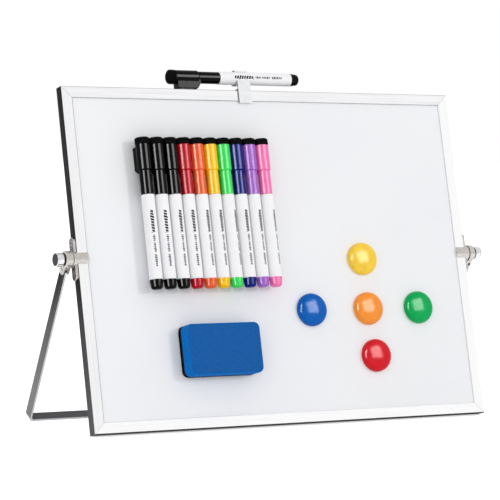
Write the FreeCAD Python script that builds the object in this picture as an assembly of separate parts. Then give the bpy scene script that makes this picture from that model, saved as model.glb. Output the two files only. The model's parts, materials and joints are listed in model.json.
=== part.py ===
import FreeCAD
import Part
import math
import os

# Desk whiteboard easel: a framed double-sided board that swings in a U-shaped stand,
# with markers, button magnets, an eraser and a pen clip on its top rail.
# Board frame: x along the board, y into it from the frame's front face, z up the board,
# origin at the middle of the front face. Stand frame: origin on the pivot, legs along -z.
# Lengths are in millimetres and angles in degrees.

Vector = FreeCAD.Vector
X_AXIS = Vector(1, 0, 0)
Y_AXIS = Vector(0, 1, 0)
Z_AXIS = Vector(0, 0, 1)
ORIGIN = Vector(0, 0, 0)

# Pose of the easel
lean_angle = 15.2
leg_angle = 40.5

# Clearances and overruns
overrun = 2.0
fit_gap = 0.05
seat_gap = 0.1
running_gap = 0.1
same_place = 0.005

# Board and frame
board_width = 406.4
board_height = 304.8
frame_depth = 10.0
frame_face = 10.0
frame_wall = 1.2
frame_edge_radius = 0.8
lip_thickness = 1.0
lip_edge_radius = 0.4
mitre_gap = 0.12
sheet_inset = 7.0
sheet_thickness = 0.4
key_leg = 24.0

# Side clamps, their screws and the pivot bolts
clamp_height = 38.0
clamp_width = 8.0
clamp_thickness = 2.6
clamp_boss_height = 1.4
clamp_edge_radius = 0.7
jaw_radius = 7.1
jaw_end_radius = 0.5
clamp_screw_inset = 5.0
screw_radius = 1.5
screw_head_radius = 2.7
screw_head_depth = 1.4
screw_length = 8.0
screw_slot_width = 0.7
screw_slot_depth = 0.8
screw_slot_share = 0.7
bolt_radius = 2.5
bolt_head_radius = 4.2
bolt_head_height = 1.5

# Stand: washers, brackets, bar, rivets and knobs
washer_thickness = 0.8
washer_radius = 6.6
bracket_radius = 7.5
bracket_length = 6.3
bracket_rim_radius = 1.7
inner_ear = 2.6
tail_length = 14.0
tail_tip_width = 8.4
tail_round_share = 0.4
tail_inset = 0.3
tail_taper = 0.3
leg_face = 10.5
leg_thickness = 2.0
leg_edge_radius = 0.4
leg_inner_bend = 2.0
leg_end_radius = 3.0
leg_end_gap = 0.5
rivet_radius = 1.5
rivet_head_radius = 2.4
rivet_head_height = 0.8
knob_washer_thickness = 1.2
knob_washer_radius = 5.8
knob_radius = 6.1
knob_length = 6.3
knob_edge_radius = 0.6
knob_rim_width = 0.8
knob_cap_depth = 1.4
knob_cap_proud = 0.3
knob_floor = 1.0

# Marker, measured along its axis from the end plug
plug_length = 8.6
barrel_length = 75.2
cap_skirt_length = 22.2
cap_head_length = 23.1
marker_felt_height = 5.9
barrel_radius = 5.95
barrel_wall = 1.3
barrel_edge_radius = 0.4
plug_taper = 1.0
plug_edge_radius = 2.6
plug_spigot = 6.0
neck_length = 11.5
nib_holder_radius = 3.1
nib_holder_length = 9.0
nib_radius = 2.0
nib_reach = 6.0
nib_round_share = 0.8
reservoir_gap = 0.75
cap_skirt_step = 0.45
cap_head_step = 0.4
cap_wall = 0.8
cap_edge_radius = 0.5
cap_bore_end_wall = 5.0
cap_nib_room = 1.2
marker_felt_bulge = 0.1
marker_felt_edge = 1.6
block_width = 9.0
block_height = 4.55
block_length = 24.0
block_slope = 3.5
block_top_inset = 1.3
block_edge_radius = 0.8
cap_magnet_width = 5.8
cap_magnet_length = 13.8
cap_magnet_thickness = 2.6

# Marker row on the board and the marker held above the top rail
marker_gap = 0.7
marker_row_shares = (-0.1825, 0.1215)
clip_marker_lift = 1.1

# Pen clip on the top rail
clip_width = 13.1
clip_thickness = 1.2
clip_front_reach = 12.2
clip_back_reach = 9.0
clip_corner_radius = 1.0
clip_share = -0.0471
clip_grip_share = 0.308
clip_upper_angle = 115.0
clip_lower_angle = -150.0

# Button magnets
button_radius = 15.0
button_height = 8.6
button_rim_height = 1.6
button_shoulder_radius = 4.2
button_back_round = 0.4
button_magnet_radius = 9.0
button_magnet_thickness = 4.0
button_place_shares = {
    "yellow": (0.2131, -0.0157),
    "blue": (0.0647, -0.166),
    "orange": (0.2141, -0.167),
    "green": (0.35, -0.168),
    "red": (0.2212, -0.3097),
}

# Eraser
eraser_width = 73.3
eraser_height = 45.2
eraser_corner_radius = 5.5
eraser_foam_thickness = 14.2
eraser_felt_thickness = 3.0
eraser_edge_radius = 1.6
eraser_felt_edge = 0.5
eraser_magnet_width = 52.0
eraser_magnet_height = 22.0
eraser_magnet_thickness = 2.0
eraser_place_shares = (-0.1866, -0.2776)

marker_names = (
    "black_a",
    "black_b",
    "black_c",
    "red",
    "orange",
    "yellow",
    "green",
    "blue",
    "purple",
    "pink",
)

# Values worked out from the sizes above
half_width = board_width / 2
half_height = board_height / 2
sheet_y = lip_thickness + fit_gap
pivot_y = frame_depth / 2
clamp_x = half_width + clamp_thickness
clamp_boss_x = clamp_x + clamp_boss_height
bracket_x = clamp_boss_x + running_gap + washer_thickness + running_gap
bracket_end_x = bracket_x + bracket_length
leg_x = bracket_x + inner_ear + fit_gap + leg_thickness / 2
knob_washer_x = bracket_end_x + running_gap
knob_x = knob_washer_x + knob_washer_thickness + running_gap
knob_end_x = knob_x + knob_length
knob_cap_radius = knob_radius - knob_rim_width
bolt_end_x = knob_end_x - knob_cap_depth - knob_floor
leg_end = bracket_radius + leg_end_gap
rivet_drop = (leg_end + tail_length) / 2
barrel_end = plug_length + barrel_length
cap_step = barrel_end + cap_skirt_length
cap_top = cap_step + cap_head_length
nib_holder_end = barrel_end + neck_length + nib_holder_length
barrel_bore = barrel_radius - barrel_wall
cap_skirt_radius = barrel_radius - cap_skirt_step
cap_head_radius = barrel_radius + cap_head_step
neck_radius = cap_skirt_radius - cap_wall - seat_gap
block_reach = cap_head_radius + block_height
marker_length = cap_top + marker_felt_height
marker_pitch = 2 * cap_head_radius + marker_gap
marker_axis_y = sheet_y - seat_gap - block_reach
marker_foot_z = marker_row_shares[1] * board_height - marker_length / 2
clip_marker_y = frame_depth / 2
clip_marker_z = half_height + clip_marker_lift + block_reach
clip_x = clip_share * board_width
eraser_x = eraser_place_shares[0] * board_width
eraser_z = eraser_place_shares[1] * board_height
clip_bore = barrel_radius + running_gap
clip_marker_foot_x = clip_x + (1 - clip_grip_share) * barrel_length + plug_length


def rounded_face(corners, place):
    """Face inside a loop of (a, b, corner radius); place(a, b) gives each point in space."""
    points = [Vector(a, b, 0) for a, b, radius in corners]
    bends = []
    for i, point in enumerate(points):
        radius = corners[i][2]
        back = (points[i - 1] - point).normalize()
        ahead = (points[(i + 1) % len(points)] - point).normalize()
        half = back.getAngle(ahead) / 2
        reach = radius / math.tan(half)
        middle = (back + ahead).normalize() * (radius / math.sin(half) - radius)
        bends.append((point + back * reach, point + middle, point + ahead * reach, radius))
    edges = []
    for i, (start, middle, end, radius) in enumerate(bends):
        if radius > 0:
            arc = (place(p.x, p.y) for p in (start, middle, end))
            edges.append(Part.Arc(*arc).toShape())
        following = bends[(i + 1) % len(bends)][0]
        if end.distanceToPoint(following) > same_place:
            ends = (place(end.x, end.y), place(following.x, following.y))
            edges.append(Part.LineSegment(*ends).toShape())
    return Part.Face(Part.Wire(edges))


def block(x_range, y_range, z_range):
    """Box between two values on each axis."""
    spans = (x_range, y_range, z_range)
    low = Vector(*(min(span) for span in spans))
    size = (abs(span[1] - span[0]) for span in spans)
    return Part.makeBox(*size, low)


def rod_x(radius, x_start, x_end, y=0, z=0):
    """Cylinder along x."""
    return Part.makeCylinder(radius, x_end - x_start, Vector(x_start, y, z), X_AXIS)


def ring_x(outer, inner, x_start, x_end, y=0, z=0):
    """Washer along x."""
    bore = rod_x(inner, x_start - overrun, x_end + overrun, y, z)
    return rod_x(outer, x_start, x_end, y, z).cut(bore)


def turned(corners):
    """Solid of revolution about z from a profile of (radius, height, corner radius)."""
    face = rounded_face(corners, lambda a, b: Vector(a, 0, b))
    return face.revolve(ORIGIN, Z_AXIS, 360)


def on_side(shape, side):
    """A piece made for the right-hand side, mirrored where side is -1."""
    return shape if side > 0 else shape.mirror(ORIGIN, X_AXIS)


def edges_at(shape, test):
    """Edges of a shape whose every end and middle point passes a test."""
    found = []
    for edge in shape.Edges:
        middle = edge.valueAt((edge.FirstParameter + edge.LastParameter) / 2)
        if all(test(p) for p in [v.Point for v in edge.Vertexes] + [middle]):
            found.append(edge)
    return found


def near(a, b):
    """Whether two lengths are equal but for rounding."""
    return abs(a - b) < same_place


def rail(length, place):
    """One frame rail: a lipped channel, mitred at both ends.

    place(s, y, r) gives a point from s along the rail, depth y and r in from the outer edge.
    """
    low, high = lip_thickness, frame_depth - lip_thickness
    corners = [
        (0, 0, frame_edge_radius),
        (0, frame_face, lip_edge_radius),
        (low, frame_face, 0),
        (low, frame_wall, 0),
        (high, frame_wall, 0),
        (high, frame_face, 0),
        (frame_depth, frame_face, lip_edge_radius),
        (frame_depth, 0, frame_edge_radius),
    ]
    start, end = place(-length / 2, 0, 0), place(length / 2, 0, 0)
    bar = rounded_face(corners, lambda y, r: place(-length / 2, y, r)).extrude(end - start)
    half = (length - mitre_gap) / 2
    inner = frame_face + overrun
    mitre = [
        (-half - overrun, -overrun, 0),
        (half + overrun, -overrun, 0),
        (half - inner, inner, 0),
        (inner - half, inner, 0),
    ]
    keep = rounded_face(mitre, lambda s, r: place(s, -overrun, r))
    depth = place(0, frame_depth + overrun, 0) - place(0, -overrun, 0)
    return bar.common(keep.extrude(depth))


def clamp_screw_heights():
    """Heights of the screws in each side clamp."""
    reach = clamp_height / 2 - clamp_screw_inset
    return (-reach, reach)


def side_rail(side):
    """Left or right rail, with pilot holes for the clamp screws."""
    bar = rail(board_height, lambda s, y, r: Vector(side * (half_width - r), y, s))
    for z in clamp_screw_heights():
        hole = rod_x(screw_radius + fit_gap, half_width - frame_wall - overrun, clamp_x, pivot_y, z)
        bar = bar.cut(on_side(hole, side))
    return bar


def level_rail(side):
    """Top or bottom rail."""
    return rail(board_width, lambda s, y, r: Vector(s, y, side * (half_height - r)))


def corner_key(side_x, side_z):
    """Angle that joins two rails inside their channels."""
    outer = frame_wall + fit_gap
    inner = sheet_inset - fit_gap
    corners = [
        (outer, outer, 0),
        (outer + key_leg, outer, 0),
        (outer + key_leg, inner, 0),
        (inner, inner, 0),
        (inner, outer + key_leg, 0),
        (outer, outer + key_leg, 0),
    ]

    def place(a, b):
        return Vector(side_x * (half_width - a), sheet_y, side_z * (half_height - b))

    return rounded_face(corners, place).extrude(Y_AXIS * (frame_depth - 2 * sheet_y))


def board_layer(front, back):
    """One layer of the board between two depths, held under the frame's lips."""
    x, z = half_width - sheet_inset, half_height - sheet_inset
    return block((-x, x), (front, back), (-z, z))


def clamp_screw(z):
    """Countersunk screw with a cross slot, through the clamp into the rail."""
    tip = clamp_x - screw_length
    shank = rod_x(screw_radius, tip, clamp_x - screw_head_depth, pivot_y, z)
    base = Vector(clamp_x - screw_head_depth, pivot_y, z)
    head = Part.makeCone(screw_radius, screw_head_radius, screw_head_depth, base, X_AXIS)
    screw = shank.fuse(head)
    half = screw_slot_width / 2
    arm = screw_head_radius * screw_slot_share
    x_range = (clamp_x - screw_slot_depth, clamp_x + overrun)
    screw = screw.cut(block(x_range, (pivot_y - half, pivot_y + half), (z - arm, z + arm)))
    screw = screw.cut(block(x_range, (pivot_y - arm, pivot_y + arm), (z - half, z + half)))
    return screw.removeSplitter()


def clamp():
    """Side clamp: a screwed plate and a round boss with jaws over both faces of the frame."""
    half_w, half_h = clamp_width / 2, clamp_height / 2
    corners = [
        (pivot_y - half_w, -half_h, half_w),
        (pivot_y + half_w, -half_h, half_w),
        (pivot_y + half_w, half_h, half_w),
        (pivot_y - half_w, half_h, half_w),
    ]
    face = rounded_face(corners, lambda y, z: Vector(half_width, y, z))
    plate = face.extrude(X_AXIS * clamp_thickness)
    rim = edges_at(plate, lambda p: near(p.x, clamp_x))
    plate = plate.makeFillet(clamp_edge_radius, rim)
    jaw_start = half_width - frame_face
    fork = rod_x(jaw_radius, jaw_start, clamp_boss_x, pivot_y)
    rims = edges_at(fork, lambda p: near(p.x, jaw_start)) + edges_at(fork, lambda p: near(p.x, clamp_boss_x))
    fork = fork.makeFillet(jaw_end_radius, rims)
    y_range = (-seat_gap, frame_depth + seat_gap)
    slot = block((jaw_start - overrun, half_width), y_range, (-jaw_radius, jaw_radius))
    body = plate.fuse(fork.cut(slot)).removeSplitter()
    pocket_end = half_width + bolt_head_height + fit_gap
    body = body.cut(rod_x(bolt_head_radius + fit_gap, half_width - overrun, pocket_end, pivot_y))
    body = body.cut(rod_x(bolt_radius + fit_gap, half_width, clamp_boss_x + overrun, pivot_y))
    for z in clamp_screw_heights():
        body = body.cut(rod_x(screw_radius + fit_gap, half_width - overrun, clamp_x, pivot_y, z))
        base = Vector(clamp_x - screw_head_depth, pivot_y, z)
        small, large = screw_radius + fit_gap, screw_head_radius + fit_gap
        body = body.cut(Part.makeCone(small, large, screw_head_depth, base, X_AXIS))
    return body


def pivot_bolt():
    """Bolt with its head held in the clamp, passing through the bracket into the knob."""
    head = rod_x(bolt_head_radius, half_width, half_width + bolt_head_height, pivot_y)
    shank = rod_x(bolt_radius, half_width, bolt_end_x, pivot_y)
    return head.fuse(shank).removeSplitter()


def stand_bar():
    """Flat bar bent into a U: two legs and the cross bar that they stand on."""
    outer_x = leg_x + leg_thickness / 2
    inner_x = leg_x - leg_thickness / 2
    inner_foot = leg_length - leg_thickness
    outer_bend = leg_inner_bend + leg_thickness
    corners = [
        (-outer_x, -leg_end, 0),
        (-outer_x, -leg_length, outer_bend),
        (outer_x, -leg_length, outer_bend),
        (outer_x, -leg_end, 0),
        (inner_x, -leg_end, 0),
        (inner_x, -inner_foot, leg_inner_bend),
        (-inner_x, -inner_foot, leg_inner_bend),
        (-inner_x, -leg_end, 0),
    ]
    half = leg_face / 2
    bar = rounded_face(corners, lambda x, z: Vector(x, -half, z)).extrude(Y_AXIS * leg_face)
    end_edges = edges_at(bar, lambda p: near(p.z, -leg_end))
    sides = edges_at(bar, lambda p: near(abs(p.y), half))
    long_edges = [e for e in sides if not any(e.isSame(end) for end in end_edges)]
    bar = bar.makeFillet(leg_edge_radius, long_edges)
    ends = [
        (-half - overrun, -leg_length - overrun, 0),
        (half + overrun, -leg_length - overrun, 0),
        (half + overrun, -leg_end - leg_end_radius, 0),
        (half, -leg_end - leg_end_radius, 0),
        (half, -leg_end, leg_end_radius),
        (-half, -leg_end, leg_end_radius),
        (-half, -leg_end - leg_end_radius, 0),
        (-half - overrun, -leg_end - leg_end_radius, 0),
    ]
    start = -outer_x - overrun
    keep = rounded_face(ends, lambda y, z: Vector(start, y, z)).extrude(X_AXIS * (-2 * start))
    bar = bar.common(keep)
    hole = rod_x(rivet_radius + fit_gap, -outer_x - overrun, outer_x + overrun, 0, -rivet_drop)
    return bar.cut(hole)


def leg_bracket():
    """Turning bracket: a round boss on the pivot with a forked tail that holds the leg."""
    boss = rod_x(bracket_radius, bracket_x, bracket_end_x)
    boss = boss.makeFillet(bracket_rim_radius, edges_at(boss, lambda p: near(p.x, bracket_end_x)))
    half = tail_tip_width / 2
    tip_radius = tail_tip_width * tail_round_share
    shoulder = bracket_radius - bracket_rim_radius
    corners = [
        (-shoulder, 0, 0),
        (-half, -tail_length, tip_radius),
        (half, -tail_length, tip_radius),
        (shoulder, 0, 0),
    ]
    face = rounded_face(corners, lambda y, z: Vector(bracket_x, y, z))
    tail = face.extrude(X_AXIS * (bracket_length - tail_inset))
    tail_x = bracket_end_x - tail_inset
    wedge = [
        (tail_x, -bracket_radius, 0),
        (tail_x - tail_taper, -tail_length - overrun, 0),
        (tail_x + overrun, -tail_length - overrun, 0),
        (tail_x + overrun, -bracket_radius, 0),
    ]
    cutter = rounded_face(wedge, lambda x, z: Vector(x, -bracket_radius, z))
    tail = tail.cut(cutter.extrude(Y_AXIS * (2 * bracket_radius)))
    body = boss.fuse(tail).removeSplitter()
    slot_x = (leg_x - leg_thickness / 2 - fit_gap, leg_x + leg_thickness / 2 + fit_gap)
    slot_z = (-leg_end + fit_gap, -tail_length - overrun)
    body = body.cut(block(slot_x, (-bracket_radius, bracket_radius), slot_z))
    body = body.cut(rod_x(bolt_radius + fit_gap, bracket_x - overrun, bracket_end_x + overrun))
    pin = rod_x(rivet_radius + fit_gap, bracket_x - overrun, bracket_end_x + overrun, 0, -rivet_drop)
    seat = rod_x(rivet_head_radius + fit_gap, rivet_seat_x(), bracket_end_x + overrun, 0, -rivet_drop)
    return body.cut(pin).cut(seat)


def rivet_seat_x():
    """Where the rivet's head seats on the bracket's outer ear."""
    return bracket_end_x - tail_inset - tail_taper


def leg_rivet():
    """Rivet through both ears of a bracket and the leg, flush inside and domed outside."""
    seat = rivet_seat_x()
    pin = rod_x(rivet_radius, bracket_x, seat, 0, -rivet_drop)
    head = rod_x(rivet_head_radius, seat, seat + rivet_head_height, 0, -rivet_drop)
    crown = edges_at(head, lambda p: near(p.x, seat + rivet_head_height))
    return pin.fuse(head.makeFillet(rivet_head_height / 2, crown)).removeSplitter()


def knob():
    """Chromed thumb knob with a blind bore for the bolt and a recess for its end cap."""
    body = rod_x(knob_radius, knob_x, knob_end_x, pivot_y)
    rims = edges_at(body, lambda p: near(p.x, knob_x)) + edges_at(body, lambda p: near(p.x, knob_end_x))
    body = body.makeFillet(knob_edge_radius, rims)
    bore = rod_x(bolt_radius + fit_gap, knob_x - overrun, bolt_end_x + fit_gap, pivot_y)
    body = body.cut(bore)
    recess = rod_x(knob_cap_radius + fit_gap, knob_end_x - knob_cap_depth, knob_end_x + overrun, pivot_y)
    return body.cut(recess)


def knob_cap():
    """Dark cap that closes the knob's outer end."""
    end = knob_end_x + knob_cap_proud
    cap = rod_x(knob_cap_radius, knob_end_x - knob_cap_depth, end, pivot_y)
    return cap.makeFillet(knob_cap_proud, edges_at(cap, lambda p: near(p.x, end)))


def clip_hook():
    """Outline of the part of the pen clip that hooks over the top rail."""
    front, back = -seat_gap, frame_depth + seat_gap
    top = half_height + seat_gap
    outer = clip_corner_radius + clip_thickness
    corners = [
        (front - clip_thickness, half_height - clip_front_reach, 0),
        (front, half_height - clip_front_reach, 0),
        (front, top, 0),
        (back, top, 0),
        (back, half_height - clip_back_reach, 0),
        (back + clip_thickness, half_height - clip_back_reach, 0),
        (back + clip_thickness, top + clip_thickness, outer),
        (front - clip_thickness, top + clip_thickness, 0),
    ]
    return rounded_face(corners, lambda y, z: Vector(clip_x - clip_width / 2, y, z))


def clip_jaws():
    """Outline of the C-shaped part of the pen clip that grips the marker."""
    upper, lower = math.radians(clip_upper_angle), math.radians(clip_lower_angle)
    outer = clip_bore + clip_thickness
    x = clip_x - clip_width / 2

    def at(radius, turn):
        y = clip_marker_y + radius * math.cos(turn)
        return Vector(x, y, clip_marker_z + radius * math.sin(turn))

    edges = [
        Part.Arc(at(outer, lower), at(outer, 0), at(outer, upper)).toShape(),
        Part.LineSegment(at(outer, upper), at(clip_bore, upper)).toShape(),
        Part.Arc(at(clip_bore, upper), at(clip_bore, 0), at(clip_bore, lower)).toShape(),
        Part.LineSegment(at(clip_bore, lower), at(outer, lower)).toShape(),
    ]
    return Part.Face(Part.Wire(edges))


def pen_clip():
    """Spring clip that slides along the top rail and holds a marker above it."""
    stem_y = (-seat_gap - clip_thickness, -seat_gap)
    lower = math.radians(clip_lower_angle)
    stem_z = (half_height, clip_marker_z + clip_bore * math.sin(lower))
    x_range = (clip_x - clip_width / 2, clip_x + clip_width / 2)
    width = X_AXIS * clip_width
    body = clip_hook().extrude(width).fuse(clip_jaws().extrude(width))
    body = body.fuse(block(x_range, stem_y, stem_z))
    bore = rod_x(clip_bore, x_range[0] - overrun, x_range[1] + overrun, clip_marker_y, clip_marker_z)
    return body.cut(bore).removeSplitter()


def marker_solids():
    """Barrel, end plug, ink reservoir and nib of a marker, standing on its plug."""
    reservoir_end = barrel_end - barrel_wall
    barrel = turned([
        (barrel_bore, plug_length, 0),
        (barrel_radius, plug_length, barrel_edge_radius),
        (barrel_radius, barrel_end, barrel_edge_radius),
        (neck_radius, barrel_end, 0),
        (neck_radius, barrel_end + neck_length, barrel_edge_radius),
        (nib_holder_radius, nib_holder_end, 0),
        (nib_radius + fit_gap, nib_holder_end, 0),
        (nib_radius + fit_gap, reservoir_end, 0),
        (barrel_bore, reservoir_end, 0),
    ])
    spigot = barrel_bore - fit_gap
    plug = turned([
        (0, 0, 0),
        (barrel_radius - plug_taper, 0, plug_edge_radius),
        (barrel_radius, plug_length, 0),
        (spigot, plug_length, 0),
        (spigot, plug_length + plug_spigot, 0),
        (0, plug_length + plug_spigot, 0),
    ])
    length = reservoir_end - plug_length - plug_spigot
    base = Vector(0, 0, plug_length + plug_spigot)
    reservoir = Part.makeCylinder(barrel_bore - reservoir_gap, length, base, Z_AXIS)
    tip = nib_holder_end + nib_reach
    nib = turned([
        (0, reservoir_end, 0),
        (nib_radius, reservoir_end, 0),
        (nib_radius, tip, nib_radius * nib_round_share),
        (0, tip, 0),
    ])
    return [barrel, plug, reservoir, nib]


def cap_block():
    """Block on the board side of a cap, sloped at its lower end, with a magnet pocket."""
    top = cap_top - block_top_inset
    foot = top - block_length
    corners = [
        (0, foot, 0),
        (cap_skirt_radius, foot, 0),
        (block_reach, foot + block_slope, block_edge_radius),
        (block_reach, top, block_edge_radius),
        (0, top, 0),
    ]
    half = block_width / 2
    body = rounded_face(corners, lambda y, z: Vector(-half, y, z)).extrude(X_AXIS * block_width)
    middle = (foot + block_slope + top) / 2
    return body.cut(cap_magnet(middle, fit_gap, overrun)), cap_magnet(middle, 0, 0)


def cap_magnet(middle, gap, beyond):
    """Magnet in a cap's block, or with a gap the pocket that holds it."""
    half_w = cap_magnet_width / 2 + gap
    half_l = cap_magnet_length / 2 + gap
    back = block_reach - fit_gap
    y_range = (back - cap_magnet_thickness - gap, back + beyond)
    return block((-half_w, half_w), y_range, (middle - half_l, middle + half_l))


def cap_solids():
    """Cap shell with its magnet block, the magnet, and the felt wiper on its top."""
    shell = turned([
        (0, barrel_end + seat_gap, 0),
        (cap_skirt_radius, barrel_end + seat_gap, cap_edge_radius),
        (cap_skirt_radius, cap_step, 0),
        (cap_head_radius, cap_step, cap_edge_radius),
        (cap_head_radius, cap_top, cap_edge_radius),
        (0, cap_top, 0),
    ])
    bulge, magnet = cap_block()
    neck_bore = neck_radius + seat_gap
    neck_end = barrel_end + neck_length + seat_gap
    nib_bore = nib_holder_radius + cap_nib_room
    bore = turned([
        (0, barrel_end - overrun, 0),
        (neck_bore, barrel_end - overrun, 0),
        (neck_bore, neck_end, 0),
        (nib_bore, nib_holder_end, 0),
        (nib_bore, cap_top - cap_bore_end_wall, cap_edge_radius),
        (0, cap_top - cap_bore_end_wall, 0),
    ])
    shell = shell.fuse(bulge).removeSplitter().cut(bore)
    felt_radius = cap_head_radius + marker_felt_bulge
    felt = turned([
        (0, cap_top, 0),
        (felt_radius, cap_top, cap_edge_radius),
        (felt_radius, marker_length, marker_felt_edge),
        (0, marker_length, 0),
    ])
    return [shell, magnet, felt]


def button_solids(place):
    """Domed button with the disc magnet in its back, at a place on the board."""
    rise = button_height - button_rim_height
    shoulder = button_shoulder_radius
    across = button_radius - shoulder
    crown = (across**2 + rise**2 - shoulder**2) / (2 * (rise - shoulder))
    bend = math.atan2(crown - rise, across)

    def at(centre_x, centre_z, radius, turn):
        return Vector(centre_x + radius * math.cos(turn), 0, centre_z + radius * math.sin(turn))

    def on_shoulder(turn):
        return at(across, button_rim_height, shoulder, turn)

    def on_crown(turn):
        return at(0, button_height - crown, crown, turn)

    crest = Vector(0, 0, button_height)
    foot = Vector(button_radius, 0, 0)
    middle = (bend + math.pi / 2) / 2
    edges = [
        Part.LineSegment(ORIGIN, foot).toShape(),
        Part.LineSegment(foot, on_shoulder(0)).toShape(),
        Part.Arc(on_shoulder(0), on_shoulder(bend / 2), on_shoulder(bend)).toShape(),
        Part.Arc(on_shoulder(bend), on_crown(middle), crest).toShape(),
        Part.LineSegment(crest, ORIGIN).toShape(),
    ]
    dome = Part.Face(Part.Wire(edges)).revolve(ORIGIN, Z_AXIS, 360)
    on_foot = edges_at(dome, lambda p: near(p.z, 0) and near(p.Length, button_radius))
    dome = dome.makeFillet(button_back_round, on_foot)
    pocket = Part.makeCylinder(button_magnet_radius + fit_gap, button_magnet_thickness + 2 * fit_gap)
    magnet = Part.makeCylinder(button_magnet_radius, button_magnet_thickness)
    magnet.translate(Z_AXIS * fit_gap)
    dome = dome.cut(pocket)
    turn = FreeCAD.Rotation(X_AXIS, 90)
    spot = Vector(place[0] * board_width, sheet_y - seat_gap, place[1] * board_height)
    placement = FreeCAD.Placement(spot, turn)
    return placed(dome, placement), placed(magnet, placement)


def eraser_slab(back, thickness):
    """Slab of the eraser's rounded outline, standing out from a depth towards the front."""
    half_w, half_h = eraser_width / 2, eraser_height / 2
    corners = [
        (eraser_x + a * half_w, eraser_z + b * half_h, eraser_corner_radius)
        for a, b in ((-1, -1), (1, -1), (1, 1), (-1, 1))
    ]
    face = rounded_face(corners, lambda x, z: Vector(x, back, z))
    return face.extrude(Y_AXIS * -thickness)


def eraser_solids():
    """Foam block, the magnet strip in its back and the felt that wipes the board."""
    felt_back = sheet_y - seat_gap
    foam_back = felt_back - eraser_felt_thickness
    front = foam_back - eraser_foam_thickness
    foam = eraser_slab(foam_back, eraser_foam_thickness)
    foam = foam.makeFillet(eraser_edge_radius, edges_at(foam, lambda p: near(p.y, front)))
    felt = eraser_slab(felt_back, eraser_felt_thickness)
    felt = felt.makeFillet(eraser_felt_edge, edges_at(felt, lambda p: near(p.y, felt_back)))
    half_w, half_h = eraser_magnet_width / 2, eraser_magnet_height / 2

    def strip(gap):
        x_range = (eraser_x - half_w - gap, eraser_x + half_w + gap)
        y_range = (foam_back - eraser_magnet_thickness - gap, foam_back)
        return block(x_range, y_range, (eraser_z - half_h - gap, eraser_z + half_h + gap))

    return foam.cut(strip(fit_gap)), felt, strip(0)


def placed(shape, placement):
    """Copy of a shape moved to a placement."""
    moved = shape.copy()
    moved.Placement = placement.multiply(moved.Placement)
    return moved


def marker_placements():
    """Name and placement of each marker: ten on the board and one in the pen clip."""
    first_x = marker_row_shares[0] * board_width - (len(marker_names) - 1) * marker_pitch / 2
    out = {}
    for i, name in enumerate(marker_names):
        spot = Vector(first_x + i * marker_pitch, marker_axis_y, marker_foot_z)
        out[name] = FreeCAD.Placement(spot, FreeCAD.Rotation())
    spot = Vector(clip_marker_foot_x, clip_marker_y, clip_marker_z)
    level = FreeCAD.Rotation(Y_AXIS, -Z_AXIS, -X_AXIS, "XYZ")
    out["clipped"] = FreeCAD.Placement(spot, level)
    return out


def board_nodes():
    """Every node that is modelled in the board frame."""
    nodes = {
        "front_sheet": [board_layer(sheet_y, sheet_y + sheet_thickness)],
        "back_sheet": [board_layer(frame_depth - sheet_y - sheet_thickness, frame_depth - sheet_y)],
        "board_core": [board_layer(sheet_y + sheet_thickness, frame_depth - sheet_y - sheet_thickness)],
        "top_rail": [level_rail(1)],
        "bottom_rail": [level_rail(-1)],
        "left_rail": [side_rail(-1)],
        "right_rail": [side_rail(1)],
        "corner_keys": [corner_key(a, b) for a in (-1, 1) for b in (-1, 1)],
        "clamp_left": [on_side(clamp(), -1)],
        "clamp_right": [clamp()],
        "clamp_screws": [on_side(clamp_screw(z), s) for s in (-1, 1) for z in clamp_screw_heights()],
        "pivot_bolts": [on_side(pivot_bolt(), side) for side in (-1, 1)],
        "knob_left": [on_side(knob(), -1)],
        "knob_right": [knob()],
        "knob_cap_left": [on_side(knob_cap(), -1)],
        "knob_cap_right": [knob_cap()],
        "pen_clip": [pen_clip()],
    }
    foam, felt, strip = eraser_solids()
    nodes.update({"eraser_foam": [foam], "eraser_felt": [felt], "eraser_magnet": [strip]})
    for colour, place in button_place_shares.items():
        dome, magnet = button_solids(place)
        nodes["magnet_button_" + colour] = [dome]
        nodes["magnet_disc_" + colour] = [magnet]
    body, cap = marker_solids(), cap_solids()
    for name, placement in marker_placements().items():
        nodes["marker_" + name] = [placed(solid, placement) for solid in body]
        nodes["marker_cap_" + name] = [placed(solid, placement) for solid in cap]
    return nodes


def stand_nodes():
    """Every node that is modelled in the stand frame and turns with the legs."""
    washer_start = clamp_boss_x + running_gap
    bore = bolt_radius + fit_gap
    washer = ring_x(washer_radius, bore, washer_start, washer_start + washer_thickness)
    knob_washer = ring_x(knob_washer_radius, bore, knob_washer_x, knob_washer_x + knob_washer_thickness)
    return {
        "stand_bar": [stand_bar()],
        "leg_bracket_left": [on_side(leg_bracket(), -1)],
        "leg_bracket_right": [leg_bracket()],
        "leg_rivets": [on_side(leg_rivet(), side) for side in (-1, 1)],
        "friction_washers": [on_side(washer, side) for side in (-1, 1)],
        "knob_washers": [on_side(knob_washer, side) for side in (-1, 1)],
    }


# The board stands on its rounded lower back edge and the stand on the front edge of its foot
lean = math.radians(lean_angle)
leg_tilt = math.radians(leg_angle - lean_angle)
board_rise = (
    (frame_depth - frame_edge_radius) * math.sin(lean)
    + (half_height - frame_edge_radius) * math.cos(lean)
    + frame_edge_radius
)
pivot_rise = board_rise - pivot_y * math.sin(lean)
foot_edge = leg_face / 2 - leg_edge_radius
leg_length = leg_edge_radius + (
    pivot_rise - leg_edge_radius - foot_edge * math.sin(leg_tilt)
) / math.cos(leg_tilt)


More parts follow.
